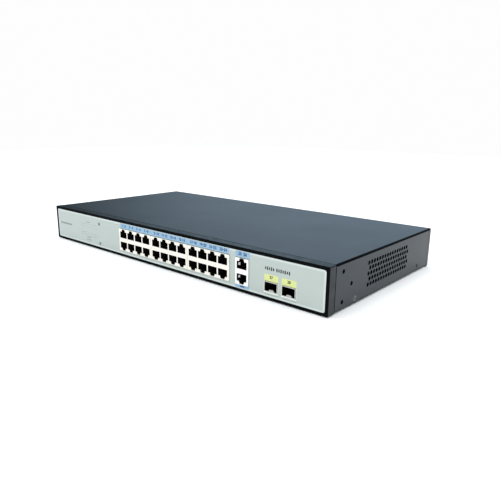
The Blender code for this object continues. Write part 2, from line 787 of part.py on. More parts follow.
def finned_block(name, x, y, z, base, fins):
    """A heat sink: a block with slots that leave this many fins standing on its base."""
    block = box(name, x, y, z, ALUMINIUM)
    slots = fins - 1
    fin = 1.4
    pitch = (x[1] - x[0] - fin) / slots
    limits = []
    for index in range(slots):
        left = x[0] + index * pitch + fin
        limits.append(((left, left + pitch - fin), grown(y, OVERSHOOT), (z[0] + base, z[1] + OVERSHOOT)))
    return cut(block, boxes(f"{name}_cut", limits))


def make_power_board_parts():
    transformer = box("power_transformer", (-70.0, -36.0), (144.0, 178.0), (ON_BOARD, 33.0), FERRITE)
    windows = [
        ((-64.0, -42.0), (138.0, 150.0), (12.0, 28.0)),
        ((-64.0, -42.0), (172.0, 184.0), (12.0, 28.0)),
    ]
    cut(transformer, boxes("power_transformer_cut", windows))
    finned_block("primary_heatsink", (-96.0, -82.0), (142.0, 182.0), (ON_BOARD, 32.0), 3.0, 4)
    finned_block("secondary_heatsink", (-22.0, -8.0), (142.0, 182.0), (ON_BOARD, 32.0), 3.0, 4)
    capacitor_height = 27.0
    place = (-112.0, 158.0, ON_BOARD + capacitor_height / 2)
    rod("bulk_capacitor", 10.0, capacitor_height, place, "z", CAPACITOR, 24)
    make_choke()


def make_choke():
    """A toroidal coil standing flat on the power board."""
    bpy.ops.mesh.primitive_torus_add(
        major_radius=7.5 * MM,
        minor_radius=4.0 * MM,
        major_segments=20,
        minor_segments=10,
        location=Vector((-143.0, front_to_y(162.0), ON_BOARD + 4.2)) * MM,
    )
    choke = bpy.context.active_object
    choke.name = "line_choke"
    choke.data.materials.append(COPPER)
    choke.data.shade_smooth()
    for owner in list(choke.users_collection):
        owner.objects.unlink(choke)
    PARTS.objects.link(choke)


def make_harnesses():
    """The two wire bundles: mains from the inlet to the power board, and power to the main board."""
    wire("dc_harness", arch((8.0, 150.0, 8.2), (8.0, 116.0, 8.2), 9.0), 1.8, WIRE_RED)
    wire("ac_harness", arch((-128.0, 201.0, 16.0), (-128.0, 178.0, 8.4), 6.0), 1.6, WIRE_BLACK)


# ---- Fans ---------------------------------------------------------------------------------------------
def make_fan(number, distance):
    half = FAN_SIZE / 2
    half_depth = FAN_THICKNESS / 2
    frame = box(
        f"fan_frame_{number}",
        (FAN_X - half_depth, FAN_X + half_depth),
        (distance - half, distance + half),
        (FAN_Z - half, FAN_Z + half),
        BLACK_PLASTIC,
    )
    centre = (FAN_X, distance, FAN_Z)
    bore = rod(f"fan_bore_{number}_cut", FAN_BORE, 2 * FAN_THICKNESS, centre, "x", None, 28)
    cut(frame, bore)
    plate_x = FAN_X + half_depth - 0.8
    plate = rod(f"fan_motor_plate_{number}", FAN_HUB, 1.6, (plate_x, distance, FAN_Z), "x", None, 20)
    reach = FAN_BORE + 0.6
    bars = [
        ((reach, 1.2), "along"),
        ((1.2, reach), "up"),
    ]
    spokes = []
    for (along, up), label in bars:
        across = grown((plate_x, plate_x), 0.7)
        length = grown((distance, distance), along)
        spokes.append(box(f"fan_spoke_{number}_{label}", across, length, grown((FAN_Z, FAN_Z), up)))
    join(frame, plate, *spokes)
    make_rotor(number, distance)


def make_rotor(number, distance):
    """The hub and blades that turn about X, clear of the bore and the motor plate."""
    length = 7.2
    centre_x = FAN_X - FAN_THICKNESS / 2 + 0.4 + length / 2
    rotor = rod(f"fan_rotor_{number}", FAN_HUB, length, (centre_x, distance, FAN_Z), "x", BLACK_PLASTIC, 20)
    bm = bmesh.new()
    inner = FAN_HUB - 1.5
    outer = FAN_BORE - 0.8
    for blade in range(FAN_BLADES):
        spin = Matrix.Rotation(2 * math.pi * blade / FAN_BLADES, 4, "X")
        shift = Matrix.Translation(Vector((0.0, (inner + outer) / 2, 0.0)) * MM)
        pitch = Matrix.Rotation(math.radians(40), 4, "Y")
        stretch = Matrix.Diagonal((1.0 * MM, (outer - inner) * MM, 7.4 * MM, 1.0))
        bmesh.ops.create_cube(bm, size=1.0, matrix=spin @ shift @ pitch @ stretch)
    mesh = bpy.data.meshes.new(f"fan_blades_{number}")
    bm.to_mesh(mesh)
    bm.free()
    blades = new_object(f"fan_blades_{number}", mesh, (centre_x, front_to_y(distance), FAN_Z))
    join(rotor, blades)


def make_fan_bracket():
    """The folded plate that both fans are fixed to, standing on the pan."""
    inner_x = FAN_X + FAN_THICKNESS / 2 + GAP
    y_limits = (FAN_CENTRES[0] - FAN_SIZE / 2 - 2.0, FAN_CENTRES[1] + FAN_SIZE / 2 + 2.0)
    low = SHEET + GAP
    bracket = box("fan_bracket", (inner_x, inner_x + 12.0), y_limits, (low, 42.0), STEEL_DARK)
    above_foot = (low + SHEET, CASE_HEIGHT + OVERSHOOT)
    room = box("fan_bracket_cut", (inner_x + SHEET, inner_x + 20.0), grown(y_limits, OVERSHOOT), above_foot)
    places = [(inner_x, y, FAN_Z) for y in FAN_CENTRES]
    holes = rods("fan_bracket_holes_cut", FAN_BORE - 0.5, DRILL, places, "x", 28)
    return cut(bracket, room, holes)


# ---- Power inlet and switch ------------------------------------------------------------------------------
def inlet_outline(width, height, chamfer):
    """The inlet's recess: a rectangle whose two upper corners are cut off."""
    x = width / 2
    y = height / 2
    return [(-x, -y), (x, -y), (x, y - chamfer), (x - chamfer, y), (-x + chamfer, y), (-x, y - chamfer)]


def make_power_inlet():
    back = CASE_DEPTH + 2.0
    front = back - INLET_DEPTH
    width, height = INLET_BODY
    inlet = box(
        "power_inlet",
        (INLET_X - width / 2, INLET_X + width / 2),
        (front, back - 0.5),
        (INLET_Z - height / 2, INLET_Z + height / 2),
        BLACK_PLASTIC,
    )
    width, height = INLET_FLANGE
    flange = box(
        "power_inlet_flange",
        (INLET_X - width / 2, INLET_X + width / 2),
        (CASE_DEPTH + GAP, back),
        (INLET_Z - height / 2, INLET_Z + height / 2),
    )
    length = 2 * INLET_CAVITY_DEPTH
    recess = new_object(
        "power_inlet_recess_cut",
        outline_mesh("power_inlet_recess_cut", inlet_outline(*INLET_CAVITY, INLET_CHAMFER), length),
        (INLET_X, front_to_y(back), INLET_Z),
    )
    recess.rotation_euler = (math.radians(90), 0.0, 0.0)
    floor = back - INLET_CAVITY_DEPTH
    pins = []
    for label, x, z in (("line", -7.0, -2.0), ("neutral", 7.0, -2.0), ("earth", 0.0, 2.0)):
        across = grown((INLET_X + x, INLET_X + x), PIN_THICKNESS / 2)
        height = grown((INLET_Z + z, INLET_Z + z), PIN_WIDTH / 2)
        pins.append(box(f"inlet_pin_{label}", across, (floor - 1.0, back - PIN_RECESS), height))
    join(cut(join(inlet, flange), recess), *pins)


def make_rocker():
    """The two-position power switch: a housing, and a rocker that tips about X."""
    back = CASE_DEPTH + 1.6
    width, height = ROCKER_BODY
    housing = box(
        "rocker_housing",
        (ROCKER_X - width / 2, ROCKER_X + width / 2),
        (back - 16.0, back - 0.5),
        (ROCKER_Z - height / 2, ROCKER_Z + height / 2),
        BLACK_PLASTIC,
    )
    width, height = ROCKER_FLANGE
    flange = box(
        "rocker_housing_flange",
        (ROCKER_X - width / 2, ROCKER_X + width / 2),
        (CASE_DEPTH + GAP, back),
        (ROCKER_Z - height / 2, ROCKER_Z + height / 2),
    )
    width, height = ROCKER_POCKET
    pocket = box(
        "rocker_pocket_cut",
        (ROCKER_X - width / 2, ROCKER_X + width / 2),
        (back - 9.5, back + OVERSHOOT),
        (ROCKER_Z - height / 2, ROCKER_Z + height / 2),
    )
    pivot = (ROCKER_X, back - 2.6, ROCKER_Z)
    pin_radius = 0.9
    hole = rod("rocker_pivot_cut", pin_radius + GAP, ROCKER_BODY[0] - 0.8, pivot, "x", None, 12)
    cut(join(housing, flange), pocket, hole)

    tip = height / 2 - 1.1
    outline = [(-tip, -0.4), (-tip + 1.6, -2.8), (-2.6, -4.6), (2.6, -4.6), (tip - 1.6, -2.8), (tip, -0.4)]
    outline += [(tip, 3.1), (0.0, 1.7), (-tip, 3.1)]
    slab = outline_mesh("rocker", outline, width - 2 * GAP)
    slab.transform(Matrix.Rotation(math.radians(-90), 4, "Y"))
    rocker = new_object("rocker", slab, (pivot[0], front_to_y(pivot[1]), pivot[2]), BLACK_PLASTIC)
    rocker.rotation_euler = (math.radians(-ROCKER_TILT), 0.0, 0.0)
    join(rocker, rod("rocker_pin", pin_radius, ROCKER_BODY[0] - 1.6, pivot, "x", None, 12))


clear_scene()
PARTS = collection("network_switch")
CUTTERS = collection("cutters")

BLACK_STEEL = material("black_steel", (44, 48, 53), 0.45, 0.2)
STEEL_DARK = material("galvanised_steel", (150, 153, 156), 0.4, 0.9)
BLACK_PLASTIC = material("black_plastic", (24, 26, 28), 0.5)
PALE_PANEL = material("pale_panel", (198, 208, 203), 0.5)
WHITE_PLASTIC = material("white_plastic", (238, 238, 232), 0.45)
TIN = material("tin_plate", (226, 228, 228), 0.3, 0.8)
NICKEL = material("nickel_plate", (190, 190, 184), 0.3, 0.9)
ZINC = material("zinc_plate", (200, 202, 204), 0.3, 1.0)
BLACK_ZINC = material("black_zinc", (40, 42, 45), 0.35, 0.8)
BRASS = material("brass", (190, 160, 90), 0.35, 1.0)
BOARD_GREEN = material("board_green", (24, 92, 52), 0.4)
BOARD_TAN = material("board_tan", (176, 142, 84), 0.55)
CLEAR = material("clear_plastic", (224, 230, 230), 0.15)
ALUMINIUM = material("aluminium", (184, 186, 190), 0.35, 1.0)
FERRITE = material("ferrite", (62, 60, 58), 0.6)
CAPACITOR = material("capacitor_sleeve", (30, 34, 60), 0.4)
COPPER = material("copper_wire", (180, 98, 52), 0.3, 0.9)
WIRE_RED = material("red_wire", (160, 30, 28), 0.5)
WIRE_BLACK = material("black_wire", (22, 22, 24), 0.5)

make_base_pan()
make_top_cover()
make_rear_panel()
make_front_bezel()
make_front_panel()
make_cover_screws()
make_rear_screws()
for module in range(JACK_MODULES):
    make_jack_module(module)
make_uplink()
for cage in range(len(CAGE_X)):
    make_cage(cage)
make_boards()
make_led_stack()
make_main_board_parts()
make_power_board_parts()
make_harnesses()
for fan, centre in enumerate(FAN_CENTRES, 1):
    make_fan(fan, centre)
make_fan_bracket()
make_power_inlet()
make_rocker()
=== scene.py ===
"""The finished look of a rackmount network switch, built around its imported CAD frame.

Everything is in metres, in the frame of the CAD model: +X to the viewer's right along the
front, -Y out of the front panel, +Z up, standing on Z = 0. Sizes of small features are named
in millimetres and scaled by MM. Places come from the boxes of the CAD nodes.
"""

import math

import bmesh
import bpy
from mathutils import Matrix, Vector


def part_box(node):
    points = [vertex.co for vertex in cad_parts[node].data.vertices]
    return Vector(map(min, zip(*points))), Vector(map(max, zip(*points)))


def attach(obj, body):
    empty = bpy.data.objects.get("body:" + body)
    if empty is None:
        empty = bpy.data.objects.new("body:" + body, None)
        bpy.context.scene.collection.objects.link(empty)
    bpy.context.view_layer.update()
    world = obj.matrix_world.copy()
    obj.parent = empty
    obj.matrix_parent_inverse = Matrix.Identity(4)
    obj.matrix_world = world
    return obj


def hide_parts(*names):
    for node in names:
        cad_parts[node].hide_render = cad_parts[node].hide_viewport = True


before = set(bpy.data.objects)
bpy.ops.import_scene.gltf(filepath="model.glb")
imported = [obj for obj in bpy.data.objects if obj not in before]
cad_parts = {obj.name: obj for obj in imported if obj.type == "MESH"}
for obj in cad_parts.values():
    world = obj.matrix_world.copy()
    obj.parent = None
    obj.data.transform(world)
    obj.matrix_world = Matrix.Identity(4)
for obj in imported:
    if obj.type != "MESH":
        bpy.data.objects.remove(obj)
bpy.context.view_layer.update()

MM = 0.001
CASE = "case"

# ---- Features that the frame doesn't name, in millimetres ----
PAST = 1.0  # how far a cutter stands past the face that it cuts

# Sheet metal
SHEET = 1.2
BEND_RADIUS = 1.9
EDGE = 0.14
COVER_HEM = 1.2

# Vents and rack-ear holes in the sides: distances are from the front of the bezel
VENT_ROWS = 5
VENT_COLUMNS = 16
VENT_PITCH = 5.5
VENT_ROW_PITCH = 5.3
VENT_FIRST = 68.4
VENT_TOP_ROW = 33.9
VENT_STAGGER = 2.7
VENT_RADIUS = 2.15
EAR_HOLES = ((22.0, 35.7), (37.0, 21.5), (22.0, 7.8))
EAR_HOLE_RADIUS = 2.05

# Screws: the radii of a side screw's shank and head, and of the cover's countersink for it
SCREW_HEAD = (1.35, 2.7)
COUNTERSINK = (1.65, 2.95)

# Bezel: its left, top and bottom borders, and the seam between it and the cover
BORDERS = (3.4, 3.2, 2.4)
BEZEL_EDGE = 0.7
SEAM = 0.6
SEAM_STEP = 0.7

# Front panel's windows: the nodes at the left and right ends, and the gap above them
WINDOW_GAP = 0.3
PANEL_WINDOWS = (
    ("jack_module_1", "jack_module_3", 0.6),
    ("uplink_shield", "uplink_shield", 0.6),
    ("sfp_cage_1", "sfp_cage_1", WINDOW_GAP),
    ("sfp_cage_2", "sfp_cage_2", WINDOW_GAP),
)

# Network sockets: the upper row (1) has its latch up and the lower row (-1) down. The heights are
# where the opening starts, its shoulder, its step and its end, counted from the block's middle.
PORT_PITCH = 14.2
PORT_WIDTH = 12.5
PORT_DEPTH = 15.0
PORT_MIDDLE = 20.25
PORT_HEIGHTS = {1: (2.5, 10.0, 11.5, 12.95), -1: (2.35, 9.75, 11.4, 12.5)}
PORT_STEP_HALF = 3.35
PORT_NOTCH_HALF = 2.65
CONTACT_PITCH = 1.02
CONTACT_PATH = ((14.6, 3.1), (9.6, 3.1), (6.2, 3.2), (5.6, 3.6), (6.4, 4.2), (10.4, 5.8), (13.4, 6.8))

# The shield's spring fingers, as (depth, lift) from a socket's side wall, and a cage's latch tab
FINGER_PATH = ((2.5, 0.0), (3.9, 1.0), (4.5, 1.0), (5.1, 0.0))
FINGER_HEIGHT = 2.5
FINGER_SHIFT = 6.3
TAB_SIZE = (5.4, 1.8)
TAB_SPAN = (1.2, 6.0)
TAB_NOTCH = ((-1.1, 2.6), (0.0, 0.7), (1.1, 2.6))

# Indicators and buttons
LED_COLUMNS = 12
LED_PITCH = 3.0
LED_FIRST = -157.5
LED_ROWS = (28.6, 25.4, 17.4, 14.2)
LED_SIZE = (1.8, 1.1)
LED_LENS_GAP = 0.06
BUTTONS = ("mode_button", "reset_button")
BUTTON_RADIUS = 1.6

# Printing on the front panel; a patch is its left, right, bottom and top
INK = 0.025
DIGIT_SHARE = 0.72
DIGIT_BOLD = 0.05
NUMBER_Z = 37.4
NUMBER_SHIFT = 2.9
ARROW_SHIFT = 0.62
ARROW_HALF = (0.5, 0.55)
UPLINK_X = 123.6
UPLINK_BAR = (120.4, 126.4, 4.5, 5.7)
LABEL_HALF = 8.1
YELLOW_SPAN = (17.9, 24.3)
FRAME_HALF = 8.4
FRAME_LINE = 0.45
BLUE_LABELS = ((-71.6, 106.4, 34.4, 40.0), (114.6, 132.6, 34.4, 40.0), (114.4, 132.2, 3.5, 6.7))
GREY_MARKS_AND_SHADE_LINE = (
    (-210.5, -182.5, 21.2, 23.6),
    (151.0, 167.0, 4.75, 5.15),
    (171.5, 187.0, 4.75, 5.15),
    (17.0, 33.0, 5.6, 6.1),
    # Painted shade: a thin grey line along the gap between the socket blocks and the blue strip.
    (-71.0, 106.0, 33.45, 33.85),
    (-146.0, -138.0, 30.9, 31.9),
    (-146.5, -137.5, 11.1, 12.1),
    (-147.0, -137.0, 7.8, 8.8),
)
BAR_GROUPS = ((151.2, 5), (164.2, 7))
BAR_PITCH = 2.3
BAR_WIDTH = 1.35
BAR_Z = 29.9

# Rear: the screws' holes, the earth symbol's bars (half width, half height, rise), the mains inlet
# and the rocker
REAR_HOLES = (("rear_panel_screw_1", 1.65), ("rear_panel_screw_2", 1.65), ("ground_screw", 2.2))
EARTH_BARS = ((0.25, 1.4, 1.05), (2.6, 0.25, -0.6), (1.7, 0.25, -1.5), (0.8, 0.25, -2.4))
INLET_BODY = (27.0, 19.6)
INLET_CAVITY = (24.4, 16.6)
INLET_CAVITY_DEPTH = 16.0
INLET_CHAMFER = 4.5
INLET_PINS = ((-7.0, -2.0), (7.0, -2.0), (0.0, 2.0))
ROCKER_BODY = (13.0, 19.0)
ROCKER_POCKET = (10.6, 17.2)
ROCKER_PIVOT = 2.6
ROCKER_TILT = 10.0
PADDLE_TIP = ROCKER_POCKET[1] / 2 - 1.1
PADDLE_LOWEST = 1.75
PADDLE_RISE = 1.35

# Fans: the rotor's front is turned, as (distance back from its face, radius)
FAN_BORE = 18.8
FAN_HUB = 8.5
FAN_BLADES = 7
BLADE_STATIONS = 7
BLADE_STEPS = 6
ROTOR_FRONT = ((0.9, 0.0), (0.9, 5.4), (0.2, 6.0), (0.0, 7.3), (0.35, 8.2), (1.2, FAN_HUB))

# ---- Camera, in metres and degrees ----
CAMERA_PLACE = (0.4205, -0.4442, 0.1572)
CAMERA_AZIMUTH = 40.53
CAMERA_ELEVATION = 14.44
CAMERA_ROLL = 0.754
CAMERA_LENS = 35.4
SENSOR = 36.0

# ---- Stage and light, in metres: even light, and a dim room with soft panels mirrored in gloss ----
FLOOR_HALF = 2.4
FLOOR_GAP = 0.0009
AMBIENT = 0.985
LIGHT_HEIGHT = 1.6
LIGHT_SIZE = 2.6
LIGHT_POWER = 26.0
ROOM_COLOUR = (204, 232, 254)
ROOM_DIM = 0.03
# Each panel: the direction towards it, the angles where it starts and stops fading, its strength
ROOM_PANELS = (
    ((-0.40, 0.84, 0.30), 10, 40, 1.1),
    ((0.80, -0.60, 0.30), 12, 42, 0.122),
    ((-0.70, -0.70, 0.35), 12, 42, 0.35),
)


# ---- Materials ----
def linear(value):
    part = value / 255
    if part <= 0.04045:
        return part / 12.92
    return ((part + 0.055) / 1.055) ** 2.4


def colour(rgb):
    return tuple(linear(c) for c in rgb) + (1.0,)


class Wiring:
    """A tree of shader nodes that is built by short calls."""

    def __init__(self, tree):
        self.tree = tree

    def node(self, kind, **inputs):
        made = self.tree.nodes.new(kind)
        for key, value in inputs.items():
            made.inputs[key.replace("_", " ")].default_value = value
        return made

    def link(self, source, target):
        self.tree.links.new(source, target)

    def ramp(self, source, low, high, start, end):
        """Maps a value from low..high to start..end, clamped."""
        made = self.node("ShaderNodeMapRange", From_Min=low, From_Max=high, To_Min=start, To_Max=end)
        self.link(source, made.inputs["Value"])
        return made.outputs["Result"]

    def math(self, operation, first, second):
        made = self.node("ShaderNodeMath")
        made.operation = operation
        for socket, value in zip(made.inputs, (first, second)):
            if isinstance(value, (int, float)):
                socket.default_value = value
            else:
                self.link(value, socket)
        return made.outputs["Value"]


class Surface(Wiring):
    """A Principled material being wired: tints, gloss and bumps are added over each other."""

    def __init__(self, name, rgb, roughness, metallic=0.0, specular=0.5):
        self.material = bpy.data.materials.new(name)
        self.material.use_nodes = True
        super().__init__(self.material.node_tree)
        self.shader = self.tree.nodes["Principled BSDF"]
        self.shader.inputs["Base Color"].default_value = colour(rgb)
        self.shader.inputs["Roughness"].default_value = roughness
        self.shader.inputs["Metallic"].default_value = metallic
        self.shader.inputs["Specular IOR Level"].default_value = specular
        self.position = self.node("ShaderNodeTexCoord").outputs["Object"]
        self.height = None

    def stretched(self, scale):
        """The object's coordinates multiplied along each axis."""
        mapping = self.node("ShaderNodeMapping", Scale=scale)
        self.link(self.position, mapping.inputs["Vector"])
        return mapping.outputs["Vector"]

    def noise(self, scale, detail, roughness=0.55, vector=None):
        made = self.node("ShaderNodeTexNoise", Scale=scale, Detail=detail, Roughness=roughness)
        self.link(vector or self.position, made.inputs["Vector"])
        return made.outputs["Fac"]

    def patches(self, scale, low, high, most, detail=3.0, roughness=0.55):
        """Noise as a factor: none below low, and most of the mix above high."""
        return self.ramp(self.noise(scale, detail, roughness), low, high, 0.0, most)

    def tint(self, factor, rgb):
        """Mixes another colour over what the base colour already is."""
        target = self.shader.inputs["Base Color"]
        made = self.node("ShaderNodeMix")
        made.data_type = "RGBA"
        under, over = made.inputs[6], made.inputs[7]
        under.default_value = target.default_value
        if target.is_linked:
            self.link(target.links[0].from_socket, under)
        over.default_value = colour(rgb)
        self.link(factor, made.inputs[0])
        self.link(made.outputs[2], target)

    def gloss(self, factor, low, high):
        """Makes the roughness run from low to high with a factor."""
        self.link(self.ramp(factor, 0.3, 0.7, low, high), self.shader.inputs["Roughness"])

    def bump(self, factor, distance, strength):
        """Raises the surface by a factor times a distance in metres; calls stack."""
        made = self.node("ShaderNodeBump", Strength=strength, Distance=distance)
        self.link(factor, made.inputs["Height"])
        if self.height is not None:
            self.link(self.height, made.inputs["Normal"])
        self.height = made.outputs["Normal"]
        self.link(self.height, self.shader.inputs["Normal"])


def lighter(rgb, steps):
    return [min(255, part + steps) for part in rgb]


def powder_coat(name, rgb, sheen_rgb, roughness, specular):
    """Baked powder: a fine orange-peel grain, specks of dust and faint rubbed patches."""
    made = Surface(name, rgb, roughness, specular=specular)
    made.shader.inputs["Specular Tint"].default_value = colour(sheen_rgb)
    smear = made.noise(14.0, 4.0, 0.6)
    made.tint(made.ramp(smear, 0.35, 0.75, 0.0, 0.25), lighter(rgb, 4))
    made.tint(made.patches(900.0, 0.66, 0.74, 0.2, 3.0, 0.7), lighter(rgb, 22))
    made.gloss(smear, roughness - 0.015, roughness + 0.02)
    made.bump(made.noise(2600.0, 2.0), 0.00006, 0.35)
    return made.material


def moulded(name, rgb, roughness, specular, grain=1800.0, depth=0.00004, fade=None):
    """Moulded plastic: a fine texture, slow colour drift and a little handling shine."""
    made = Surface(name, rgb, roughness, specular=specular)
    made.tint(made.patches(35.0, 0.4, 0.7, 0.5), fade or [max(0, part - 10) for part in rgb])
    made.gloss(made.noise(90.0, 4.0), roughness - 0.06, roughness + 0.08)
    made.bump(made.noise(grain, 2.0), depth, 0.4)
    return made.material


def plated(name, rgb, roughness, dull, brushed=(1.0, 1.0, 1.0), metallic=1.0):
    """Plated or bare metal: drawn lines along one axis and dull patches."""
    made = Surface(name, rgb, roughness, metallic=metallic)
    lines = made.noise(900.0, 4.0, 0.7, made.stretched(brushed))
    made.tint(made.patches(60.0, 0.45, 0.75, 0.6, 4.0, 0.6), dull)
    made.gloss(lines, roughness - 0.08, roughness + 0.14)
    made.bump(lines, 0.00002, 0.3)
    return made.material


def circuit_board(name, mask, track, scale):
    """Solder mask over copper: tracks as thin steps in a cell pattern, and tinned pads."""
    made = Surface(name, mask, 0.35, specular=0.5)
    cells = made.node("ShaderNodeTexBrick", Scale=scale)
    cells.inputs["Mortar Size"].default_value = 0.03
    cells.inputs["Brick Width"].default_value = 0.9
    made.link(made.position, cells.inputs["Vector"])
    lines = cells.outputs["Fac"]
    made.tint(made.math("MULTIPLY", lines, 0.7), track)
    pads = made.node("ShaderNodeTexVoronoi", Scale=scale * 3.0)
    made.link(made.position, pads.inputs["Vector"])
    spots = made.ramp(pads.outputs["Distance"], 0.12, 0.1, 0.0, 0.9)
    made.tint(spots, (196, 190, 170))
    made.bump(lines, 0.00003, 0.5)
    return made.material


def panel_overlay():
    """The printed plate: pale green-grey, a painted highlight as a lighter band along its edges, and a
    fine satin grain.
    """
    made = Surface("panel_overlay", (176, 187, 183), 0.42, specular=0.3)
    low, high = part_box("front_panel")
    split = made.node("ShaderNodeSeparateXYZ")
    made.link(made.position, split.inputs["Vector"])
    nearest = None
    for axis, limits in (("X", (low.x, high.x)), ("Z", (low.z, high.z))):
        for sign, limit in zip((1, -1), limits):
            away = made.math("MULTIPLY", made.math("SUBTRACT", split.outputs[axis], limit), sign)
            nearest = away if nearest is None else made.math("MINIMUM", nearest, away)
    # Painted highlight: the plate turns lighter within its last 2.4 mm towards each edge.
    margin = made.ramp(nearest, 0.0024, 0.0008, 0.0, 0.85)
    made.tint(made.patches(12.0, 0.4, 0.7, 0.5), (180, 190, 185))
    made.tint(made.patches(1400.0, 0.5, 0.8, 0.25, 2.0), (160, 171, 168))
    made.tint(margin, (208, 217, 214))
    made.gloss(made.noise(40.0, 4.0), 0.36, 0.5)
    made.bump(made.noise(2200.0, 2.0), 0.00003, 0.3)
    return made.material


def printed(name, rgb):
    """Screen-printed ink: solid, with the faint mottling of a mesh screen."""
    made = Surface(name, rgb, 0.5, specular=0.3)
    made.tint(made.patches(700.0, 0.45, 0.7, 0.3), lighter(rgb, 14))
    made.bump(made.noise(1800.0, 2.0), 0.00002, 0.25)
    return made.material


def lens_plastic(name, rgb):
    """Clear plastic with a shiny skin, slightly cloudy."""
    made = Surface(name, rgb, 0.18, specular=0.6)
    made.shader.inputs["Transmission Weight"].default_value = 0.35
    made.shader.inputs["Coat Weight"].default_value = 0.3
    made.tint(made.patches(500.0, 0.4, 0.7, 0.4), lighter(rgb, 16))
    made.bump(made.noise(600.0, 2.0), 0.00002, 0.2)
    return made.material


def wound_wire(name, rgb, other):
    """Enamelled wire wound on a core: fine parallel turns."""
    made = Surface(name, rgb, 0.3, metallic=0.85)
    wave = made.node("ShaderNodeTexWave", Scale=420.0, Distortion=1.5)
    made.link(made.position, wave.inputs["Vector"])
    turns = wave.outputs["Fac"]
    made.tint(turns, other)
    made.bump(turns, 0.0003, 0.6)
    return made.material


# ---- Mesh tools ----
AXIS_TURN = {
    "x": Matrix.Rotation(math.radians(90), 4, "Y"),
    "y": Matrix.Rotation(math.radians(-90), 4, "X"),
}
SHARP = 38  # degrees: an edge that turns further than this is shaded sharp


def add_box(bm, low, high):
    """A box between two corners given in metres."""
    low, high = Vector(low), Vector(high)
    size = high - low
    matrix = Matrix.Translation((low + high) / 2) @ Matrix.Diagonal((*size, 1.0))
    bmesh.ops.create_cube(bm, size=1.0, matrix=matrix)


def add_rod(bm, centre, radius, length, axis, sides, end_radius=None):
    """A rod along X or Y, in metres; a cone if it ends in another radius."""
    bmesh.ops.create_cone(
        bm,
        cap_ends=True,
        segments=sides,
        radius1=radius,
        radius2=radius if end_radius is None else end_radius,
        depth=length,
        matrix=Matrix.Translation(centre) @ AXIS_TURN[axis],
    )


def extrude(bm, corners, way):
    """Runs a flat outline of corner points one way, as a closed body."""
    face = bm.faces.new([bm.verts.new(corner) for corner in corners])
    made = bmesh.ops.extrude_face_region(bm, geom=[face])["geom"]
    moved = [part for part in made if isinstance(part, bmesh.types.BMVert)]
    bmesh.ops.translate(bm, verts=moved, vec=way)


def add_prism(bm, outline, start, end, axis="y"):
    """An outline of (x, z) points run along Y, or of (y, z) points run along X."""
    if axis == "y":
        extrude(bm, [(a, start, b) for a, b in outline], (0.0, end - start, 0.0))
    else:
        extrude(bm, [(start, a, b) for a, b in outline], (end - start, 0.0, 0.0))


def add_plate(bm, low, high, start, end, radius, steps=6, axis="y"):
    """A plate with round corners between two (x, z) or (y, z) corners, from start to end."""
    add_prism(bm, rounded_outline(low, high, radius * MM, steps), start, end, axis)


def circle(radius, sides):
    """The points of a circle as (across, up), from the first axis."""
    turns = [2 * math.pi * side / sides for side in range(sides)]
    return [(radius * math.cos(turn), radius * math.sin(turn)) for turn in turns]


def add_lathe(bm, profile, centre, axis, sides):
    """A turned body: (along, radius) points round a line through the centre, along X or Y."""
    rings = []
    for along, radius in profile:
        points = [(0.0, 0.0)] if radius == 0.0 else circle(radius, sides)
        if axis == "x":
            ring = [bm.verts.new((along, centre.y + a, centre.z + b)) for a, b in points]
        else:
            ring = [bm.verts.new((centre.x + a, along, centre.z + b)) for a, b in points]
        rings.append(ring)
    for first, second in zip(rings, rings[1:]):
        for side in range(sides):
            following = (side + 1) % sides
            corners = [first[side % len(first)], first[following % len(first)]]
            corners += [second[following % len(second)], second[side % len(second)]]
            bm.faces.new(list(dict.fromkeys(corners)))
    for ring in (rings[0], rings[-1]):
        if len(ring) > 1:
            bm.faces.new(ring)


def add_strip(bm, points, width, thickness):
    """A flat strip of this width along X through points that lie in a plane of constant X."""
    points = [Vector(p) for p in points]
    across = Vector((1.0, 0.0, 0.0)) * width / 2
    rings = []
    for index, point in enumerate(points):
        ahead = points[min(index + 1, len(points) - 1)]
        behind = points[max(index - 1, 0)]
        up = (ahead - behind).cross(across).normalized() * thickness / 2
        ring = (point - across - up, point + across - up, point + across + up, point - across + up)
        rings.append([bm.verts.new(corner) for corner in ring])
    for first, second in zip(rings, rings[1:]):
        for corner in range(4):
            following = (corner + 1) % 4
            bm.faces.new((first[corner], first[following], second[following], second[corner]))
    bm.faces.new(rings[0][::-1])
    bm.faces.new(rings[-1])


def rounded_outline(low, high, radius, steps):
    """A rectangle with round corners, as points running anticlockwise."""
    found = []
    left, right, bottom, top = low[0], high[0], low[1], high[1]
    for x, z, start in ((right, top, 0), (left, top, 90), (left, bottom, 180), (right, bottom, 270)):
        centre_x = x - math.copysign(radius, x - (left + right) / 2)
        centre_z = z - math.copysign(radius, z - (bottom + top) / 2)
        for step in range(steps + 1):
            angle = math.radians(start + 90 * step / steps)
            found.append((centre_x + radius * math.cos(angle), centre_z + radius * math.sin(angle)))
    return found


def build(name, bm, *surfaces):
    """Turns a mesh being built into a piece with its materials and smooth shading."""
    bmesh.ops.recalc_face_normals(bm, faces=bm.faces)
    mesh = bpy.data.meshes.new(name)
    bm.to_mesh(mesh)
    bm.free()
    for surface in surfaces:
        mesh.materials.append(surface)
    mesh.shade_smooth()
    mesh.set_sharp_from_angle(angle=math.radians(SHARP))
    piece = bpy.data.objects.new(name, mesh)
    bpy.context.scene.collection.objects.link(piece)
    return piece


def settle(piece):
    """Applies the modifiers to the piece's mesh."""
    graph = bpy.context.evaluated_depsgraph_get()
    mesh = bpy.data.meshes.new_from_object(piece.evaluated_get(graph))
    piece.modifiers.clear()
    piece.data = mesh
    return piece


def boolean(piece, tool_mesh, operation):
    """Cuts a mesh being built out of the piece, or joins it to the piece."""
    tool = build("tool", tool_mesh)
    modifier = piece.modifiers.new("boolean", "BOOLEAN")
    modifier.operation = operation
    modifier.solver = "EXACT"
    modifier.object = tool
    settle(piece)
    bpy.data.objects.remove(tool, do_unlink=True)


def carve(piece, tool_mesh):
    boolean(piece, tool_mesh, "DIFFERENCE")


def weld(piece, tool_mesh):
    boolean(piece, tool_mesh, "UNION")


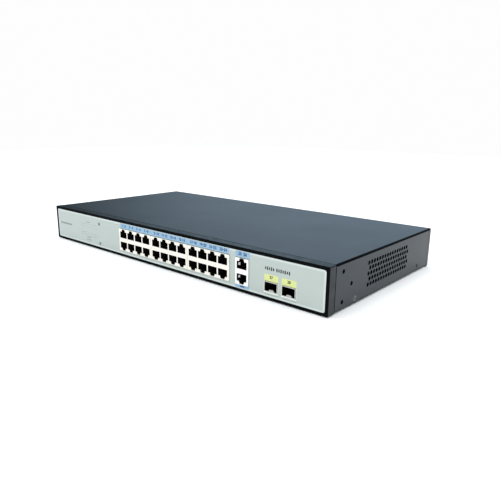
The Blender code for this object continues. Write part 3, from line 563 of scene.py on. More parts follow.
def soften(piece, width, segments, angle, sharp=SHARP):
    """Rounds every edge sharper than an angle; width in millimetres."""
    modifier = piece.modifiers.new("soften", "BEVEL")
    modifier.width = width * MM
    modifier.segments = segments
    modifier.limit_method = "ANGLE"
    modifier.angle_limit = math.radians(angle)
    modifier.use_clamp_overlap = True
    settle(piece)
    piece.data.shade_smooth()
    piece.data.set_sharp_from_angle(angle=math.radians(sharp))
    even = piece.modifiers.new("even", "WEIGHTED_NORMAL")
    even.keep_sharp = True
    even.weight = 60
    return settle(piece)


def paint(piece, index, chosen):
    """Gives the faces that a test picks another of the piece's materials."""
    for polygon in piece.data.polygons:
        if chosen(polygon.center, polygon.normal):
            polygon.material_index = index


def place(piece, body, slot, *nodes):
    """Makes a piece ride on a body in place of some CAD nodes, and hides those nodes. The slot is not
    used.
    """
    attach(piece, body)
    if nodes:
        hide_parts(*nodes)


def spot(node):
    """A CAD node's lowest and highest corners at rest, and its middle."""
    low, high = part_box(node)
    return low, high, (low + high) / 2


def half(size):
    """Half of a (width, height) in millimetres, as a reach in metres."""
    return Vector(size) * MM / 2


def within(low, high, margin, start):
    """A test for faces behind a Y, and this far inside a box in X and Z."""
    def chosen(centre, normal):
        inside_x = low.x + margin < centre.x < high.x - margin
        return centre.y > start and inside_x and low.z + margin < centre.z < high.z - margin
    return chosen


def front_y(distance):
    """The Y of a point this many millimetres behind the front of the bezel."""
    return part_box("front_bezel")[0].y + distance * MM


# ---- The case ----
def vent_places(side_x):
    found = []
    for row in range(VENT_ROWS):
        start = VENT_FIRST + (VENT_STAGGER if row % 2 else 0.0)
        for column in range(VENT_COLUMNS):
            y = front_y(start + column * VENT_PITCH)
            found.append((side_x, y, (VENT_TOP_ROW - row * VENT_ROW_PITCH) * MM))
    return found


def bend(centre_x, centre_z, radius, start, turn):
    """The points of a quarter bend, from one angle and turning by another, in degrees."""
    steps = 8
    angles = [math.radians(start + turn * step / steps) for step in range(steps + 1)]
    return [(centre_x + radius * math.cos(a), centre_z + radius * math.sin(a)) for a in angles]


def cover_outline(low, high):
    """The folded sheet's section in X and Z; its sides stop above the pan's floor."""
    outer = BEND_RADIUS * MM
    inner = outer - SHEET * MM
    hem = low.z + COVER_HEM * MM
    left, right, centre_z = low.x + outer, high.x - outer, high.z - outer
    found = [(low.x, hem)]
    found += bend(left, centre_z, outer, 180, -90)
    found += bend(right, centre_z, outer, 90, -90)
    found += [(high.x, hem), (high.x - SHEET * MM, hem)]
    found += bend(right, centre_z, inner, 0, 90)
    found += bend(left, centre_z, inner, 90, 90)
    found.append((low.x + SHEET * MM, hem))
    return found


def side_screws():
    """The side screws: +1 for the right side or -1, the centre's Y and Z, and the node's number."""
    found = []
    for number in range(1, 5):
        centre = spot(f"cover_screw_{number}")[2]
        found.append((1 if centre.x > 0 else -1, centre.y, centre.z, number))
    return found


def make_cover(surface, dark, hole_shade_paint, bend_painted_shade):
    low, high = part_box("top_cover")
    sheet = SHEET * MM
    past = PAST * MM
    bm = bmesh.new()
    add_prism(bm, cover_outline(low, high), low.y, high.y)
    cover = build("cover_shell", bm, surface, dark, hole_shade_paint, bend_painted_shade)
    sides_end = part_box("rear_panel")[0].y - 0.3 * MM
    bm = bmesh.new()
    add_box(bm, (low.x - past, sides_end, -past), (high.x + past, high.y + past, high.z - sheet))
    carve(cover, bm)
    bm = bmesh.new()
    for side_x in (low.x, high.x):
        for centre in vent_places(side_x):
            add_rod(bm, centre, VENT_RADIUS * MM, 3 * sheet, "x", 18)
        for y, z in EAR_HOLES:
            add_rod(bm, (side_x, front_y(y), z * MM), EAR_HOLE_RADIUS * MM, 3 * sheet, "x", 24)
    for side, y, z, _ in side_screws():
        side_x = (high.x if side > 0 else low.x) - side * sheet / 2
        inner, outer = (radius * MM for radius in COUNTERSINK[::side])
        add_rod(bm, (side_x, y, z), inner, sheet * 1.02, "x", 28, outer)
    carve(cover, bm)
    soften(cover, EDGE, 2, 42)
    inside_x, inside_z = high.x - sheet * 0.9, high.z - sheet * 0.9
    outside_x = high.x - sheet * 0.1
    bend_x, bend_z = high.x - BEND_RADIUS * MM, high.z - BEND_RADIUS * MM
    # Partly painted shade: the cover's inner faces get the interior's black coat, darker than the outer
    # coat so the inside reads as shade.
    paint(cover, 1, lambda c, n: abs(c.x) < inside_x and c.z < inside_z)
    # Painted shade: the walls of the vents and ear holes, and the sheet's cut edges, get a near-black
    # copy of the coat.
    paint(cover, 2, lambda c, n: inside_x < abs(c.x) < outside_x and abs(n.x) < 0.5 and c.z < bend_z)
    # Painted shade: the faces of both top bends get a near-black copy of the coat, drawn as a dark line
    # along the top edges.
    paint(cover, 3, lambda c, n: abs(c.x) > bend_x and c.z > bend_z and 0.05 < abs(n.x) < 0.999)
    place(cover, CASE, "cover_black_steel", "top_cover")


def make_bezel(surface, matt):
    """The frame and, behind its seam, the narrower neck that goes into the cover. Its front faces, front
    band, window rim and the whole neck carry painted shade.
    """
    low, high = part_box("front_bezel")
    side, top, bottom = (border * MM for border in BORDERS)
    wall, past, step = SHEET * MM, PAST * MM, SEAM_STEP * MM
    lip = high.y - SEAM * MM
    bm = bmesh.new()
    add_plate(bm, low.xz, high.xz, low.y, lip, 1.1)
    bezel = build("bezel_frame", bm, surface, matt)
    bm = bmesh.new()
    window = (low.x + side, low.z + bottom), (high.x - side, high.z - top)
    add_plate(bm, *window, low.y - past, high.y + past, 2.2)
    carve(bezel, bm)
    bm = bmesh.new()
    start = (low.x + wall, low.y + 2 * MM, low.z - past)
    add_box(bm, start, (high.x - wall, high.y + past, high.z - wall))
    carve(bezel, bm)
    soften(bezel, BEZEL_EDGE, 3, 45)
    face, mouth = low.y + BEZEL_EDGE * 1.2 * MM, low.y + 2.5 * MM
    inside = within(low, high, MM, low.y - past)
    # Painted shade: the front faces, the front band and the window's inner rim get a darker, less shiny
    # copy of the bezel plastic.
    paint(bezel, 1, lambda c, n: n.y < -0.5 or c.y < face or c.y < mouth and inside(c, n))
    place(bezel, CASE, "bezel_black", "front_bezel")

    bm = bmesh.new()
    add_plate(bm, (low.x + step, low.z + step), (high.x - step, high.z - step), lip - MM, high.y, 0.8)
    # Painted shade: the neck behind the seam is all in the darker copy, as the shadow in the gap.
    neck = build("bezel_neck", bm, matt)
    bm = bmesh.new()
    floor = low.z + step + 0.5 * MM
    add_box(bm, (low.x + wall, low.y, floor), (high.x - wall, high.y + past, high.z - wall))
    carve(neck, bm)
    place(neck, CASE, "bezel_black")


def led_places():
    return [((LED_FIRST + c * LED_PITCH) * MM, z * MM) for z in LED_ROWS for c in range(LED_COLUMNS)]


def make_panel(surface):
    low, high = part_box("front_panel")
    start_y, end_y = low.y - PAST * MM, high.y + PAST * MM
    bm = bmesh.new()
    add_plate(bm, low.xz, high.xz, low.y, high.y, 2.0)
    panel = build("panel_plate", bm, surface)
    bm = bmesh.new()
    for first, last, top_gap in PANEL_WINDOWS:
        start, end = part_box(first)[0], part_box(last)[1]
        gap = WINDOW_GAP * MM
        corners = (start.x - gap, start.z - gap), (end.x + gap, end.z + top_gap * MM)
        add_plate(bm, *corners, start_y, end_y, 0.5, 3)
    reach = half(LED_SIZE)
    for x, z in led_places():
        add_box(bm, (x - reach.x, start_y, z - reach.y), (x + reach.x, end_y, z + reach.y))
    for name in BUTTONS:
        centre = spot(name)[2]
        add_rod(bm, (centre.x, low.y, centre.z), 1.9 * MM, 8 * MM, "y", 28)
    carve(panel, bm)
    soften(panel, 0.2, 2, 45)
    place(panel, CASE, "panel_pale", "front_panel")


# ---- Network jacks ----
def port_outline(x, side, grow=0.0):
    """One socket's opening: its body, stepped shoulders and latch notch, as (x, z) in metres."""
    start, shoulder, step, end = PORT_HEIGHTS[side]
    wide, middle, narrow = (reach + grow for reach in (PORT_WIDTH / 2, PORT_STEP_HALF, PORT_NOTCH_HALF))
    steps = [(wide, start - grow), (wide, shoulder + grow), (middle, shoulder + grow)]
    steps += [(middle, step + grow), (narrow, step + grow), (narrow, end)]
    outline = steps + [(-a, b) for a, b in reversed(steps)]
    return [(x + a * MM, (PORT_MIDDLE + side * b) * MM) for a, b in outline]


def add_contacts(bm, x, side, front):
    """Eight sprung contact wires lying against the wall opposite the latch."""
    for index in range(8):
        at = x + (index - 3.5) * CONTACT_PITCH * MM
        points = [(at, front + y * MM, (PORT_MIDDLE + side * z) * MM) for y, z in CONTACT_PATH]
        add_strip(bm, points, 0.42 * MM, 0.3 * MM)


def port_columns(index):
    centre = spot(f"jack_module_{index}")[2].x
    return [centre + (column - 1.5) * PORT_PITCH * MM for column in range(4)]


def make_jack_module(index, white, black, gold):
    node = f"jack_module_{index}"
    low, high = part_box(node)
    low.x += 0.15 * MM
    high.x -= 0.15 * MM
    past, wall, rim = PAST * MM, 2.0 * MM, 0.22 * MM
    bm = bmesh.new()
    add_box(bm, low, high)
    module = build(f"socket_block_{index}", bm, white, black)
    bm = bmesh.new()
    ports = [(x, side) for x in port_columns(index) for side in (1, -1)]
    for x, side in ports:
        add_prism(bm, port_outline(x, side), low.y - past, low.y + PORT_DEPTH * MM)
    hollow = (low.x + wall, low.y + 17.8 * MM, low.z + wall)
    add_box(bm, hollow, (high.x - wall, high.y + past, high.z - wall))
    groove = ((PORT_MIDDLE + 0.1 - 0.12) * MM, (PORT_MIDDLE + 0.1 + 0.12) * MM)
    add_box(bm, (low.x - past, low.y - past, groove[0]), (high.x + past, low.y + 0.2 * MM, groove[1]))
    carve(module, bm)
    soften(module, 0.1, 2, 45)
    # Painted shade: the faces inside the white block's socket openings, behind a thin rim, get black
    # plastic.
    paint(module, 1, within(low, high, rim, low.y + rim))
    place(module, CASE, "jack_white", node)
    bm = bmesh.new()
    for x, side in ports:
        add_contacts(bm, x, side, low.y)
    place(build(f"socket_contacts_{index}", bm, gold), CASE, "standoff_brass")


def make_uplink(tin, spring, black, gold):
    low, high, middle = spot("uplink_shield")
    x, wall, past = middle.x, 0.5 * MM, PAST * MM
    bm = bmesh.new()
    add_plate(bm, low.xz, high.xz, low.y, high.y, 0.5, 3)
    shield = build("uplink_shell", bm, tin, black)
    bm = bmesh.new()
    inside = Vector((wall, wall, wall))
    add_box(bm, low + inside, (high.x - wall, high.y + past, high.z - wall))
    carve(shield, bm)
    bm = bmesh.new()
    for side in (1, -1):
        add_prism(bm, port_outline(x, side), low.y - past, low.y + 2 * MM)
    carve(shield, bm)
    soften(shield, 0.12, 2, 45)
    # Painted shade: the tin shield's inner faces behind its front get black plastic.
    paint(shield, 1, within(low, high, wall * 0.8, low.y + wall * 0.8))
    place(shield, CASE, "shield_tin", "uplink_shield")

    low_in, high_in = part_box("uplink_jack")
    bm = bmesh.new()
    add_box(bm, low_in, high_in)
    insert = build("uplink_insert", bm, black)
    bm = bmesh.new()
    for side in (1, -1):
        add_prism(bm, port_outline(x, side, 0.15), low_in.y - past, low.y + PORT_DEPTH * MM)
    carve(insert, bm)
    soften(insert, 0.15, 2, 45)
    place(insert, CASE, "insert_black", "uplink_jack")

    bm = bmesh.new()
    for side in (1, -1):
        add_contacts(bm, x, side, low.y)
    place(build("uplink_contacts", bm, gold), CASE, "standoff_brass")
    make_fingers(x, low.y, spring)


def make_fingers(x, front, surface):
    """Four spring fingers, bent out of the shield's side walls into its two sockets."""
    bm = bmesh.new()
    for side in (1, -1):
        z = (PORT_MIDDLE + side * FINGER_SHIFT - FINGER_HEIGHT / 2) * MM
        for hand in (1, -1):
            wall_x = x + hand * PORT_WIDTH / 2 * MM
            corners = [(wall_x - hand * lift * MM, front + depth * MM, z) for depth, lift in FINGER_PATH]
            extrude(bm, corners, (0.0, 0.0, FINGER_HEIGHT * MM))
    # The fingers get the material passed in, a painted highlight.
    place(soften(build("uplink_fingers", bm, surface), 0.1, 2, 30), CASE, "shield_tin")


def make_cage(index, nickel, dark, black, gold):
    node = f"sfp_cage_{index}"
    low, high, middle = spot(node)
    x, wall = middle.x, 0.5 * MM
    bm = bmesh.new()
    add_plate(bm, low.xz, high.xz, low.y, high.y, 0.6, 3)
    cage = build(f"fibre_cage_{index}", bm, nickel, dark)
    bm = bmesh.new()
    inside = (low.x + wall, low.z + wall), (high.x - wall, high.z - wall)
    add_plate(bm, *inside, low.y - PAST * MM, high.y - wall, 0.4, 3)
    carve(cage, bm)
    bm = bmesh.new()
    tab_width, tab_height = (size * MM for size in TAB_SIZE)
    corners = (x - tab_width / 2, low.z + wall / 2), (x + tab_width / 2, low.z + tab_height)
    tab_start, tab_end = (low.y + distance * MM for distance in TAB_SPAN)
    add_plate(bm, *corners, tab_start, tab_end, 0.5, 3)
    weld(cage, bm)
    bm = bmesh.new()
    notch = [(x + a * MM, low.z + b * MM) for a, b in TAB_NOTCH]
    add_prism(bm, notch, tab_start + 1.8 * MM, tab_start + 3.2 * MM)
    carve(cage, bm)
    soften(cage, 0.1, 2, 45)
    paint(cage, 1, within(low, high, wall * 0.6, tab_start + 1.2 * MM))
    place(cage, CASE, "cage_nickel", node)

    node = f"sfp_connector_{index}"
    low_in, high_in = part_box(node)
    bm = bmesh.new()
    add_box(bm, low_in, high_in)
    host = build(f"fibre_host_{index}", bm, black)
    slot_half, slot_low, slot_high = 4.6 * MM, low_in.z + 1.6 * MM, low_in.z + 3.4 * MM
    bm = bmesh.new()
    add_box(
        bm,
        (x - slot_half, low_in.y - PAST * MM, slot_low),
        (x + slot_half, low_in.y + 5.5 * MM, slot_high),
    )
    carve(host, bm)
    soften(host, 0.15, 2, 45)
    place(host, CASE, "insert_black", node)
    bm = bmesh.new()
    for lane in range(10):
        at = x + (lane - 4.5) * 0.8 * MM
        start = (at - 0.15 * MM, low_in.y + 0.4 * MM, low_in.z + 3.1 * MM)
        add_box(bm, start, (at + 0.15 * MM, low_in.y + 5.2 * MM, low_in.z + 3.35 * MM))
    place(build(f"fibre_pads_{index}", bm, gold), CASE, "standoff_brass")


# ---- Screws and buttons ----
def cross_recess(piece, centre, normal, size, depth, spin):
    """Cuts a cross recess, one bar at a time, turned by an angle in degrees."""
    centre, normal = Vector(centre), Vector(normal)
    side = Vector((0.0, 0.0, 1.0)).cross(normal).normalized()
    side = Matrix.Rotation(math.radians(spin), 3, normal) @ side
    up = normal.cross(side)
    for along, across in ((side, up), (up, side)):
        bm = bmesh.new()
        corners = []
        for a, b in ((-1, -1), (1, -1), (1, 1), (-1, 1)):
            corners.append(centre + along * a * size / 2 + across * b * size / 7 + normal * depth)
        extrude(bm, corners, -normal * depth * 2)
        carve(piece, bm)


def make_side_screws(bright, dark):
    """Countersunk screws: the front one of each side is bright, the rear one is black."""
    head = SHEET * MM
    shank, rim = (radius * MM for radius in SCREW_HEAD)
    for side, y, z, number in side_screws():
        node = f"cover_screw_{number}"
        low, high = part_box(node)
        outside = high.x if side > 0 else low.x
        radii = (shank, rim) if side > 0 else (rim, shank)
        bm = bmesh.new()
        add_rod(bm, (outside - side * head / 2, y, z), radii[0], head, "x", 32, radii[1])
        screw = build(f"side_screw_{number}", bm, bright if y < 0 else dark)
        bm = bmesh.new()
        add_rod(bm, (outside - side * (head + 2.0 * MM), y, z), shank, 4.4 * MM, "x", 24)
        weld(screw, bm)
        cross_recess(screw, (outside, y, z), (side, 0, 0), 3.0 * MM, 1.0 * MM, 20 + 35 * number)
        soften(screw, 0.08, 2, 40)
        place(screw, CASE, "screw_zinc" if y < 0 else "screw_black", node)


def make_rear_screw(node, surface, slot, radius, shank, spin):
    """A round-headed screw in the rear panel."""
    low, high, middle = spot(node)
    height = 1.9 * MM
    base = high.y - height
    rings = 6
    first_angle, fall = 12, 58
    bm = bmesh.new()
    profile = []
    for step in range(rings + 1):
        share = step / rings
        shrink = math.cos(math.radians(first_angle + fall * share)) / math.cos(math.radians(first_angle))
        profile.append((base + height * math.sin(math.radians(90 * share)) * 0.98, radius * shrink))
    add_lathe(bm, profile, middle, "y", 32)
    screw = build(f"{node}_head", bm, surface)
    bm = bmesh.new()
    length = base - low.y
    overlap = 0.4 * MM
    centre = (middle.x, low.y + (length + overlap) / 2, middle.z)
    add_rod(bm, centre, shank, length + overlap, "y", 24)
    weld(screw, bm)
    cross_recess(screw, (middle.x, high.y, middle.z), (0, 1, 0), radius * 1.15, 1.2 * MM, spin)
    soften(screw, 0.08, 2, 40)
    place(screw, CASE, slot, node)


def make_button(name, surface):
    """A push button with a rounded front and, behind the panel, a collar that holds it in."""
    low, high, middle = spot(name)
    radius, rounding = BUTTON_RADIUS * MM, 0.5 * MM
    bm = bmesh.new()
    profile = [(high.y, radius), (low.y + rounding, radius)]
    for step in range(1, 7):
        angle = math.radians(90 * step / 6)
        along = low.y + rounding - rounding * math.sin(angle)
        profile.append((along, radius - rounding + rounding * math.cos(angle)))
    add_lathe(bm, profile, middle, "y", 32)
    button = build(f"{name}_cap", bm, surface)
    bm = bmesh.new()
    add_rod(bm, (middle.x, low.y + 4.7 * MM, middle.z), 2.6 * MM, 1.2 * MM, "y", 32)
    weld(button, bm)
    place(button, name, "insert_black", name)


# ---- Printing and indicators on the front ----
def add_patch(bm, low_x, high_x, low_z, high_z, layer=1):
    """A rectangle of ink, in millimetres, a hair proud of the front panel or of the layer below."""
    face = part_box("front_panel")[0].y
    outline = rounded_outline((low_x * MM, low_z * MM), (high_x * MM, high_z * MM), 0.12 * MM, 2)
    add_prism(bm, outline, face - INK * layer * MM, face + INK * MM)


def add_triangle(bm, x, z, towards):
    """A small inked arrowhead on the front panel that points up (1) or down (-1), in millimetres."""
    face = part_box("front_panel")[0].y
    wide, tall = ARROW_HALF
    base, tip = z - towards * tall, z + towards * tall
    outline = [(a * MM, b * MM) for a, b in ((x - wide, base), (x + wide, base), (x, tip))]
    add_prism(bm, outline, face - INK * MM, face + INK * MM)


def add_digits(bm, number, x, z, height):
    """A number printed on the front panel, in millimetres, as thin raised ink."""
    curve = bpy.data.curves.new("digits", "FONT")
    curve.body = str(number)
    curve.align_x = "CENTER"
    curve.align_y = "CENTER"
    curve.size = height / DIGIT_SHARE * MM
    curve.offset = height * DIGIT_BOLD * MM
    curve.resolution_u = 3
    curve.extrude = INK * MM
    holder = bpy.data.objects.new("digits", curve)
    bpy.context.scene.collection.objects.link(holder)
    graph = bpy.context.evaluated_depsgraph_get()
    mesh = bpy.data.meshes.new_from_object(holder.evaluated_get(graph))
    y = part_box("front_panel")[0].y - INK * MM
    upright = Matrix.Rotation(math.radians(90), 4, "X")
    mesh.transform(Matrix.Translation((x * MM, y, z * MM)) @ upright)
    bm.from_mesh(mesh)
    bpy.data.objects.remove(holder, do_unlink=True)
    bpy.data.meshes.remove(mesh)
    bpy.data.curves.remove(curve)


def make_patches(name, surface, patches):
    bm = bmesh.new()
    for patch in patches:
        add_patch(bm, *patch)
    place(build(name, bm, surface), CASE, "panel_pale")


def make_numbers(surface):
    """The sockets' numbers 1 to 26 on the blue labels, with an arrowhead up or down by 1 to 24."""
    bm = bmesh.new()
    number = 1
    for index in (1, 2, 3):
        for x in port_columns(index):
            for side in (-1, 1):
                add_digits(bm, number, x / MM + side * NUMBER_SHIFT, NUMBER_Z, 3.0)
                add_triangle(bm, x / MM + side * ARROW_SHIFT, NUMBER_Z, -side)
                number += 1
    for side in (-1, 1):
        add_digits(bm, number, UPLINK_X + side * 3.2, NUMBER_Z, 3.2)
        number += 1
    add_patch(bm, *UPLINK_BAR, 2)
    place(build("port_numbers", bm, surface), CASE, "panel_pale")


def make_front_marks(surface):
    """The fibre slots' numbers, and a row of plain bars, tall and short in turn, above them."""
    bm = bmesh.new()
    for index in (1, 2):
        add_digits(bm, 26 + index, cage_middle(index), 21.7, 2.6)
    bars = [start + step * BAR_PITCH for start, count in BAR_GROUPS for step in range(count)]
    for index, left in enumerate(bars):
        tall = 1.7 if index % 2 else 1.3
        add_patch(bm, left, left + BAR_WIDTH, BAR_Z - tall, BAR_Z + tall)
    place(build("front_marks", bm, surface), CASE, "panel_pale")


def make_prints(blue, yellow, white, grey, navy, dark):
    yellow_labels, frames = [], []
    for x in (cage_middle(index) for index in (1, 2)):
        left, right = x - FRAME_HALF, x + FRAME_HALF
        yellow_labels.append((x - LABEL_HALF, x + LABEL_HALF, *YELLOW_SPAN))
        frames += [(left, left + FRAME_LINE, 7.5, 17.8), (right - FRAME_LINE, right, 7.5, 17.8)]
        frames.append((left, right, 6.4, 7.4))
    make_patches("label_blue", blue, BLUE_LABELS)
    make_patches("label_yellow", yellow, yellow_labels)
    make_patches("label_frames", white, frames)
    make_numbers(navy)
    make_front_marks(dark)
    # Grey marks, one of them a painted shade line above the socket blocks.
    make_patches("panel_marks_and_shade_line", grey, GREY_MARKS_AND_SHADE_LINE)


def cage_middle(index):
    return spot(f"sfp_cage_{index}")[2].x / MM


def make_lenses(surface):
    """The indicator windows' clear fillings, almost flush with the panel."""
    low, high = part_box("front_panel")
    start, end = low.y + 0.08 * MM, high.y + 0.2 * MM
    reach = half(LED_SIZE) - Vector((LED_LENS_GAP, LED_LENS_GAP)) * MM
    bm = bmesh.new()
    for x, z in led_places():
        add_plate(bm, (x - reach.x, z - reach.y), (x + reach.x, z + reach.y), start, end, 0.2, 3)
    place(soften(build("indicator_lenses", bm, surface), 0.08, 2, 45), CASE, "light_clear")


# ---- Rear ----
def make_rear_panel(surface, dark):
    """The rear plate with its forward returns, and the openings for the inlet, rocker and screws."""
    low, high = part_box("rear_panel")
    wall, past = SHEET * MM, PAST * MM
    bm = bmesh.new()
    add_box(bm, low, high)
    panel = build("rear_plate", bm, surface, dark)
    bm = bmesh.new()
    inside = (low.x + wall, low.y - past, low.z - past)
    add_box(bm, inside, (high.x - wall, high.y - wall, high.z + past))
    carve(panel, bm)
    bm = bmesh.new()
    for node, size in (("power_inlet", INLET_BODY), ("rocker_housing", ROCKER_BODY)):
        middle = spot(node)[2].xz
        reach = half(size) + Vector((0.3, 0.3)) * MM
        add_plate(bm, middle - reach, middle + reach, high.y - 3 * wall, high.y + past, 0.6, 3)
    for node, radius in REAR_HOLES:
        middle = spot(node)[2]
        add_rod(bm, (middle.x, high.y, middle.z), radius * MM, 6 * wall, "y", 24)
    carve(panel, bm)
    soften(panel, 0.3, 2, 45)
    inside_x, inside_y = high.x - wall * 0.7, high.y - wall * 0.7
    # Partly painted shade: the rear plate's inner faces get the darker interior coat.
    paint(panel, 1, lambda c, n: c.y < inside_y and abs(c.x) < inside_x)
    place(panel, CASE, "cover_black_steel", "rear_panel")


def make_rear_marks(surface):
    """An earth symbol above the ground screw, in thin ink."""
    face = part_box("rear_panel")[1].y
    middle = spot("ground_screw")[2] + Vector((0.0, 0.0, 9.0)) * MM
    bm = bmesh.new()
    for half_x, half_z, rise in EARTH_BARS:
        reach, z = half_x * MM, middle.z + rise * MM
        start = (middle.x - reach, face - INK * MM, z - half_z * MM)
        add_box(bm, start, (middle.x + reach, face + INK * MM, z + half_z * MM))
    place(build("earth_symbol", bm, surface), CASE, "panel_pale")


def inlet_recess(grow):
    """The inlet's recess, grown by millimetres: a rectangle with its two upper corners cut off."""
    middle = spot("power_inlet")[2].xz
    reach = half(INLET_CAVITY) + Vector((grow, grow)) * MM
    low, high = middle - reach, middle + reach
    cut = INLET_CHAMFER * MM
    return [
        (low.x, low.y),
        (high.x, low.y),
        (high.x, high.y - cut),
        (high.x - cut, high.y),
        (low.x + cut, high.y),
        (low.x, high.y - cut),
    ]


def make_inlet(surface, metal):
    low, high, middle = spot("power_inlet")
    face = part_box("rear_panel")[1].y + 0.3 * MM
    depth, past = INLET_CAVITY_DEPTH * MM, PAST * MM
    bm = bmesh.new()
    add_plate(bm, low.xz, high.xz, face, high.y, 1.6)
    inlet = build("inlet_body", bm, surface)
    bm = bmesh.new()
    reach = half(INLET_BODY)
    add_plate(bm, middle.xz - reach, middle.xz + reach, low.y, high.y - 0.5 * MM, 1.0)
    weld(inlet, bm)
    for grow, deep in ((0.0, depth), (0.7, 0.6 * MM)):
        bm = bmesh.new()
        add_prism(bm, inlet_recess(grow), high.y - deep, high.y + past)
        carve(inlet, bm)
    soften(inlet, 0.25, 3, 40)
    place(inlet, CASE, "rocker_black", "power_inlet")
    bm = bmesh.new()
    for pin_x, pin_z in INLET_PINS:
        x, z = middle.x + pin_x * MM, middle.z + pin_z * MM
        start = (x - MM, high.y - depth - 0.5 * MM, z - 2 * MM)
        add_box(bm, start, (x + MM, high.y - 5.0 * MM, z + 2 * MM))
    place(soften(build("inlet_pins", bm, metal), 0.55, 3, 40), CASE, "shield_tin")


def make_rocker(surface, ink):
    """The rocker switch: a housing in the rear panel, and the paddle that tips in it."""
    low, high, middle = spot("rocker_housing")
    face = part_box("rear_panel")[1].y + 0.3 * MM
    body, pocket = half(ROCKER_BODY), half(ROCKER_POCKET)
    pivot = Vector((middle.x, high.y - ROCKER_PIVOT * MM, middle.z))
    x, z = middle.x, middle.z
    bm = bmesh.new()
    add_plate(bm, low.xz, high.xz, face, high.y, 1.2)
    housing = build("switch_housing", bm, surface)
    bm = bmesh.new()
    add_box(bm, (x - body.x, low.y, z - body.y), (x + body.x, high.y - 0.5 * MM, z + body.y))
    weld(housing, bm)
    bm = bmesh.new()
    floor = high.y - 9.5 * MM
    add_box(bm, (x - pocket.x, floor, z - pocket.y), (x + pocket.x, high.y + PAST * MM, z + pocket.y))
    add_rod(bm, pivot, 1.2 * MM, (ROCKER_BODY[0] - 0.8) * MM, "x", 24)
    carve(housing, bm)
    soften(housing, 0.3, 3, 40)
    place(housing, CASE, "rocker_black", "rocker_housing")

    tilt = Matrix.Translation(pivot) @ Matrix.Rotation(math.radians(-ROCKER_TILT), 4, "X")
    bm = bmesh.new()
    half_width = pocket.x - 0.3 * MM
    extrude(bm, [(-half_width, b * MM, a * MM) for a, b in paddle_outline()], (2 * half_width, 0.0, 0.0))
    bmesh.ops.transform(bm, matrix=tilt, verts=bm.verts)
    paddle = build("rocker_paddle", bm, surface)
    bm = bmesh.new()
    add_rod(bm, pivot, 0.9 * MM, (ROCKER_BODY[0] - 1.6) * MM, "x", 24)
    weld(paddle, bm)
    soften(paddle, 0.25, 3, 30)
    place(paddle, "rocker", "rocker_black", "rocker")

    bm = bmesh.new()
    add_mark(bm, [(-0.3, 3.4), (-0.3, 6.0)], [(0.3, 3.4), (0.3, 6.0)], closed=False)
    inner, outer = ([(a, b - 4.7) for a, b in circle(radius, 32)] for radius in (0.85, 1.3))
    add_mark(bm, inner, outer, closed=True)
    bmesh.ops.transform(bm, matrix=tilt, verts=bm.verts)
    place(build("rocker_marks", bm, ink), "rocker", "panel_pale")


def paddle_outline():
    """The paddle's section as (along, height) from its pivot, in millimetres."""
    tip, steps = PADDLE_TIP, 16
    under = [(-tip, -0.4), (-tip + 1.6, -2.8), (-2.6, -4.6), (2.6, -4.6), (tip - 1.6, -2.8), (tip, -0.4)]
    top = [tip - 2 * tip * step / steps for step in range(steps + 1)]
    return under + [(along, paddle_height(along)) for along in top]


def paddle_height(along):
    """The height of the paddle's hollow face above its pivot, this far along it; in millimetres."""
    return PADDLE_LOWEST + PADDLE_RISE * (along / PADDLE_TIP) ** 2


def add_mark(bm, first, second, closed):
    """A band of raised ink on the paddle between two rows of (across, along) points."""
    lift = 0.06
    rows = []
    for row in (first, second):
        for side in (1, -1):
            points = [(a, paddle_height(b) + side * lift, b) for a, b in row]
            rows.append([bm.verts.new(Vector(point) * MM) for point in points])
    over, under, far_over, far_under = rows
    count = len(first) if closed else len(first) - 1
    for step in range(count):
        following = (step + 1) % len(first)
        for one, other in ((over, far_over), (far_over, far_under), (far_under, under), (under, over)):
            bm.faces.new((one[step], one[following], other[following], other[step]))
    if not closed:
        for step in (0, -1):
            bm.faces.new((over[step], far_over[step], far_under[step], under[step]))


# ---- Fans ----
def make_fan(index, surface):
    """A fan's frame: a square shell with waisted sides, its bore, its screw holes, a hub and arms."""
    low, high, middle = spot(f"fan_frame_{index}")
    inset, through = 4.0 * MM, 30 * MM
    bm = bmesh.new()
    add_plate(bm, low.yz, high.yz, low.x, high.x, 2.4, axis="x")
    shell = build(f"fan_shell_{index}", bm, surface)
    bm = bmesh.new()
    add_rod(bm, middle, FAN_BORE * MM, through, "x", 56)
    for y in (low.y + inset, high.y - inset):
        for z in (low.z + inset, high.z - inset):
            add_rod(bm, (middle.x, y, z), 1.7 * MM, through, "x", 20)
    carve(shell, bm)
    carve(shell, fan_waist(low, high))
    hub = Vector((high.x - 0.8 * MM, middle.y, middle.z))
    thick, long, wide = 0.7 * MM, (FAN_BORE + 0.4) * MM, 1.1 * MM
    level, upright = Vector((thick, long, wide)), Vector((thick, wide, long))
    bm = bmesh.new()
    add_rod(bm, hub, FAN_HUB * MM, 1.6 * MM, "x", 40)
    add_box(bm, hub - level, hub + level)
    weld(shell, bm)
    bm = bmesh.new()
    add_box(bm, hub - upright, hub + upright)
    weld(shell, bm)
    soften(shell, 0.25, 2, 40)
    place(shell, CASE, "insert_black", f"fan_frame_{index}")


def fan_waist(low, high):
    """The cutter for the shallow waist along each side of a fan's frame."""
    flange, reach, deep, past = 2.4 * MM, 7.5 * MM, 0.5 * MM, PAST * MM
    start, end = low.x + flange, high.x - flange
    bm = bmesh.new()
    for y_span, z_span in (
        ((low.y - past, low.y + deep), (low.z - past, low.z + deep)),
        ((high.y - deep, high.y + past), (high.z - deep, high.z + past)),
    ):
        add_box(bm, (start, y_span[0], low.z + reach), (end, y_span[1], high.z - reach))
        add_box(bm, (start, low.y + reach, z_span[0]), (end, high.y - reach, z_span[1]))
    return bm


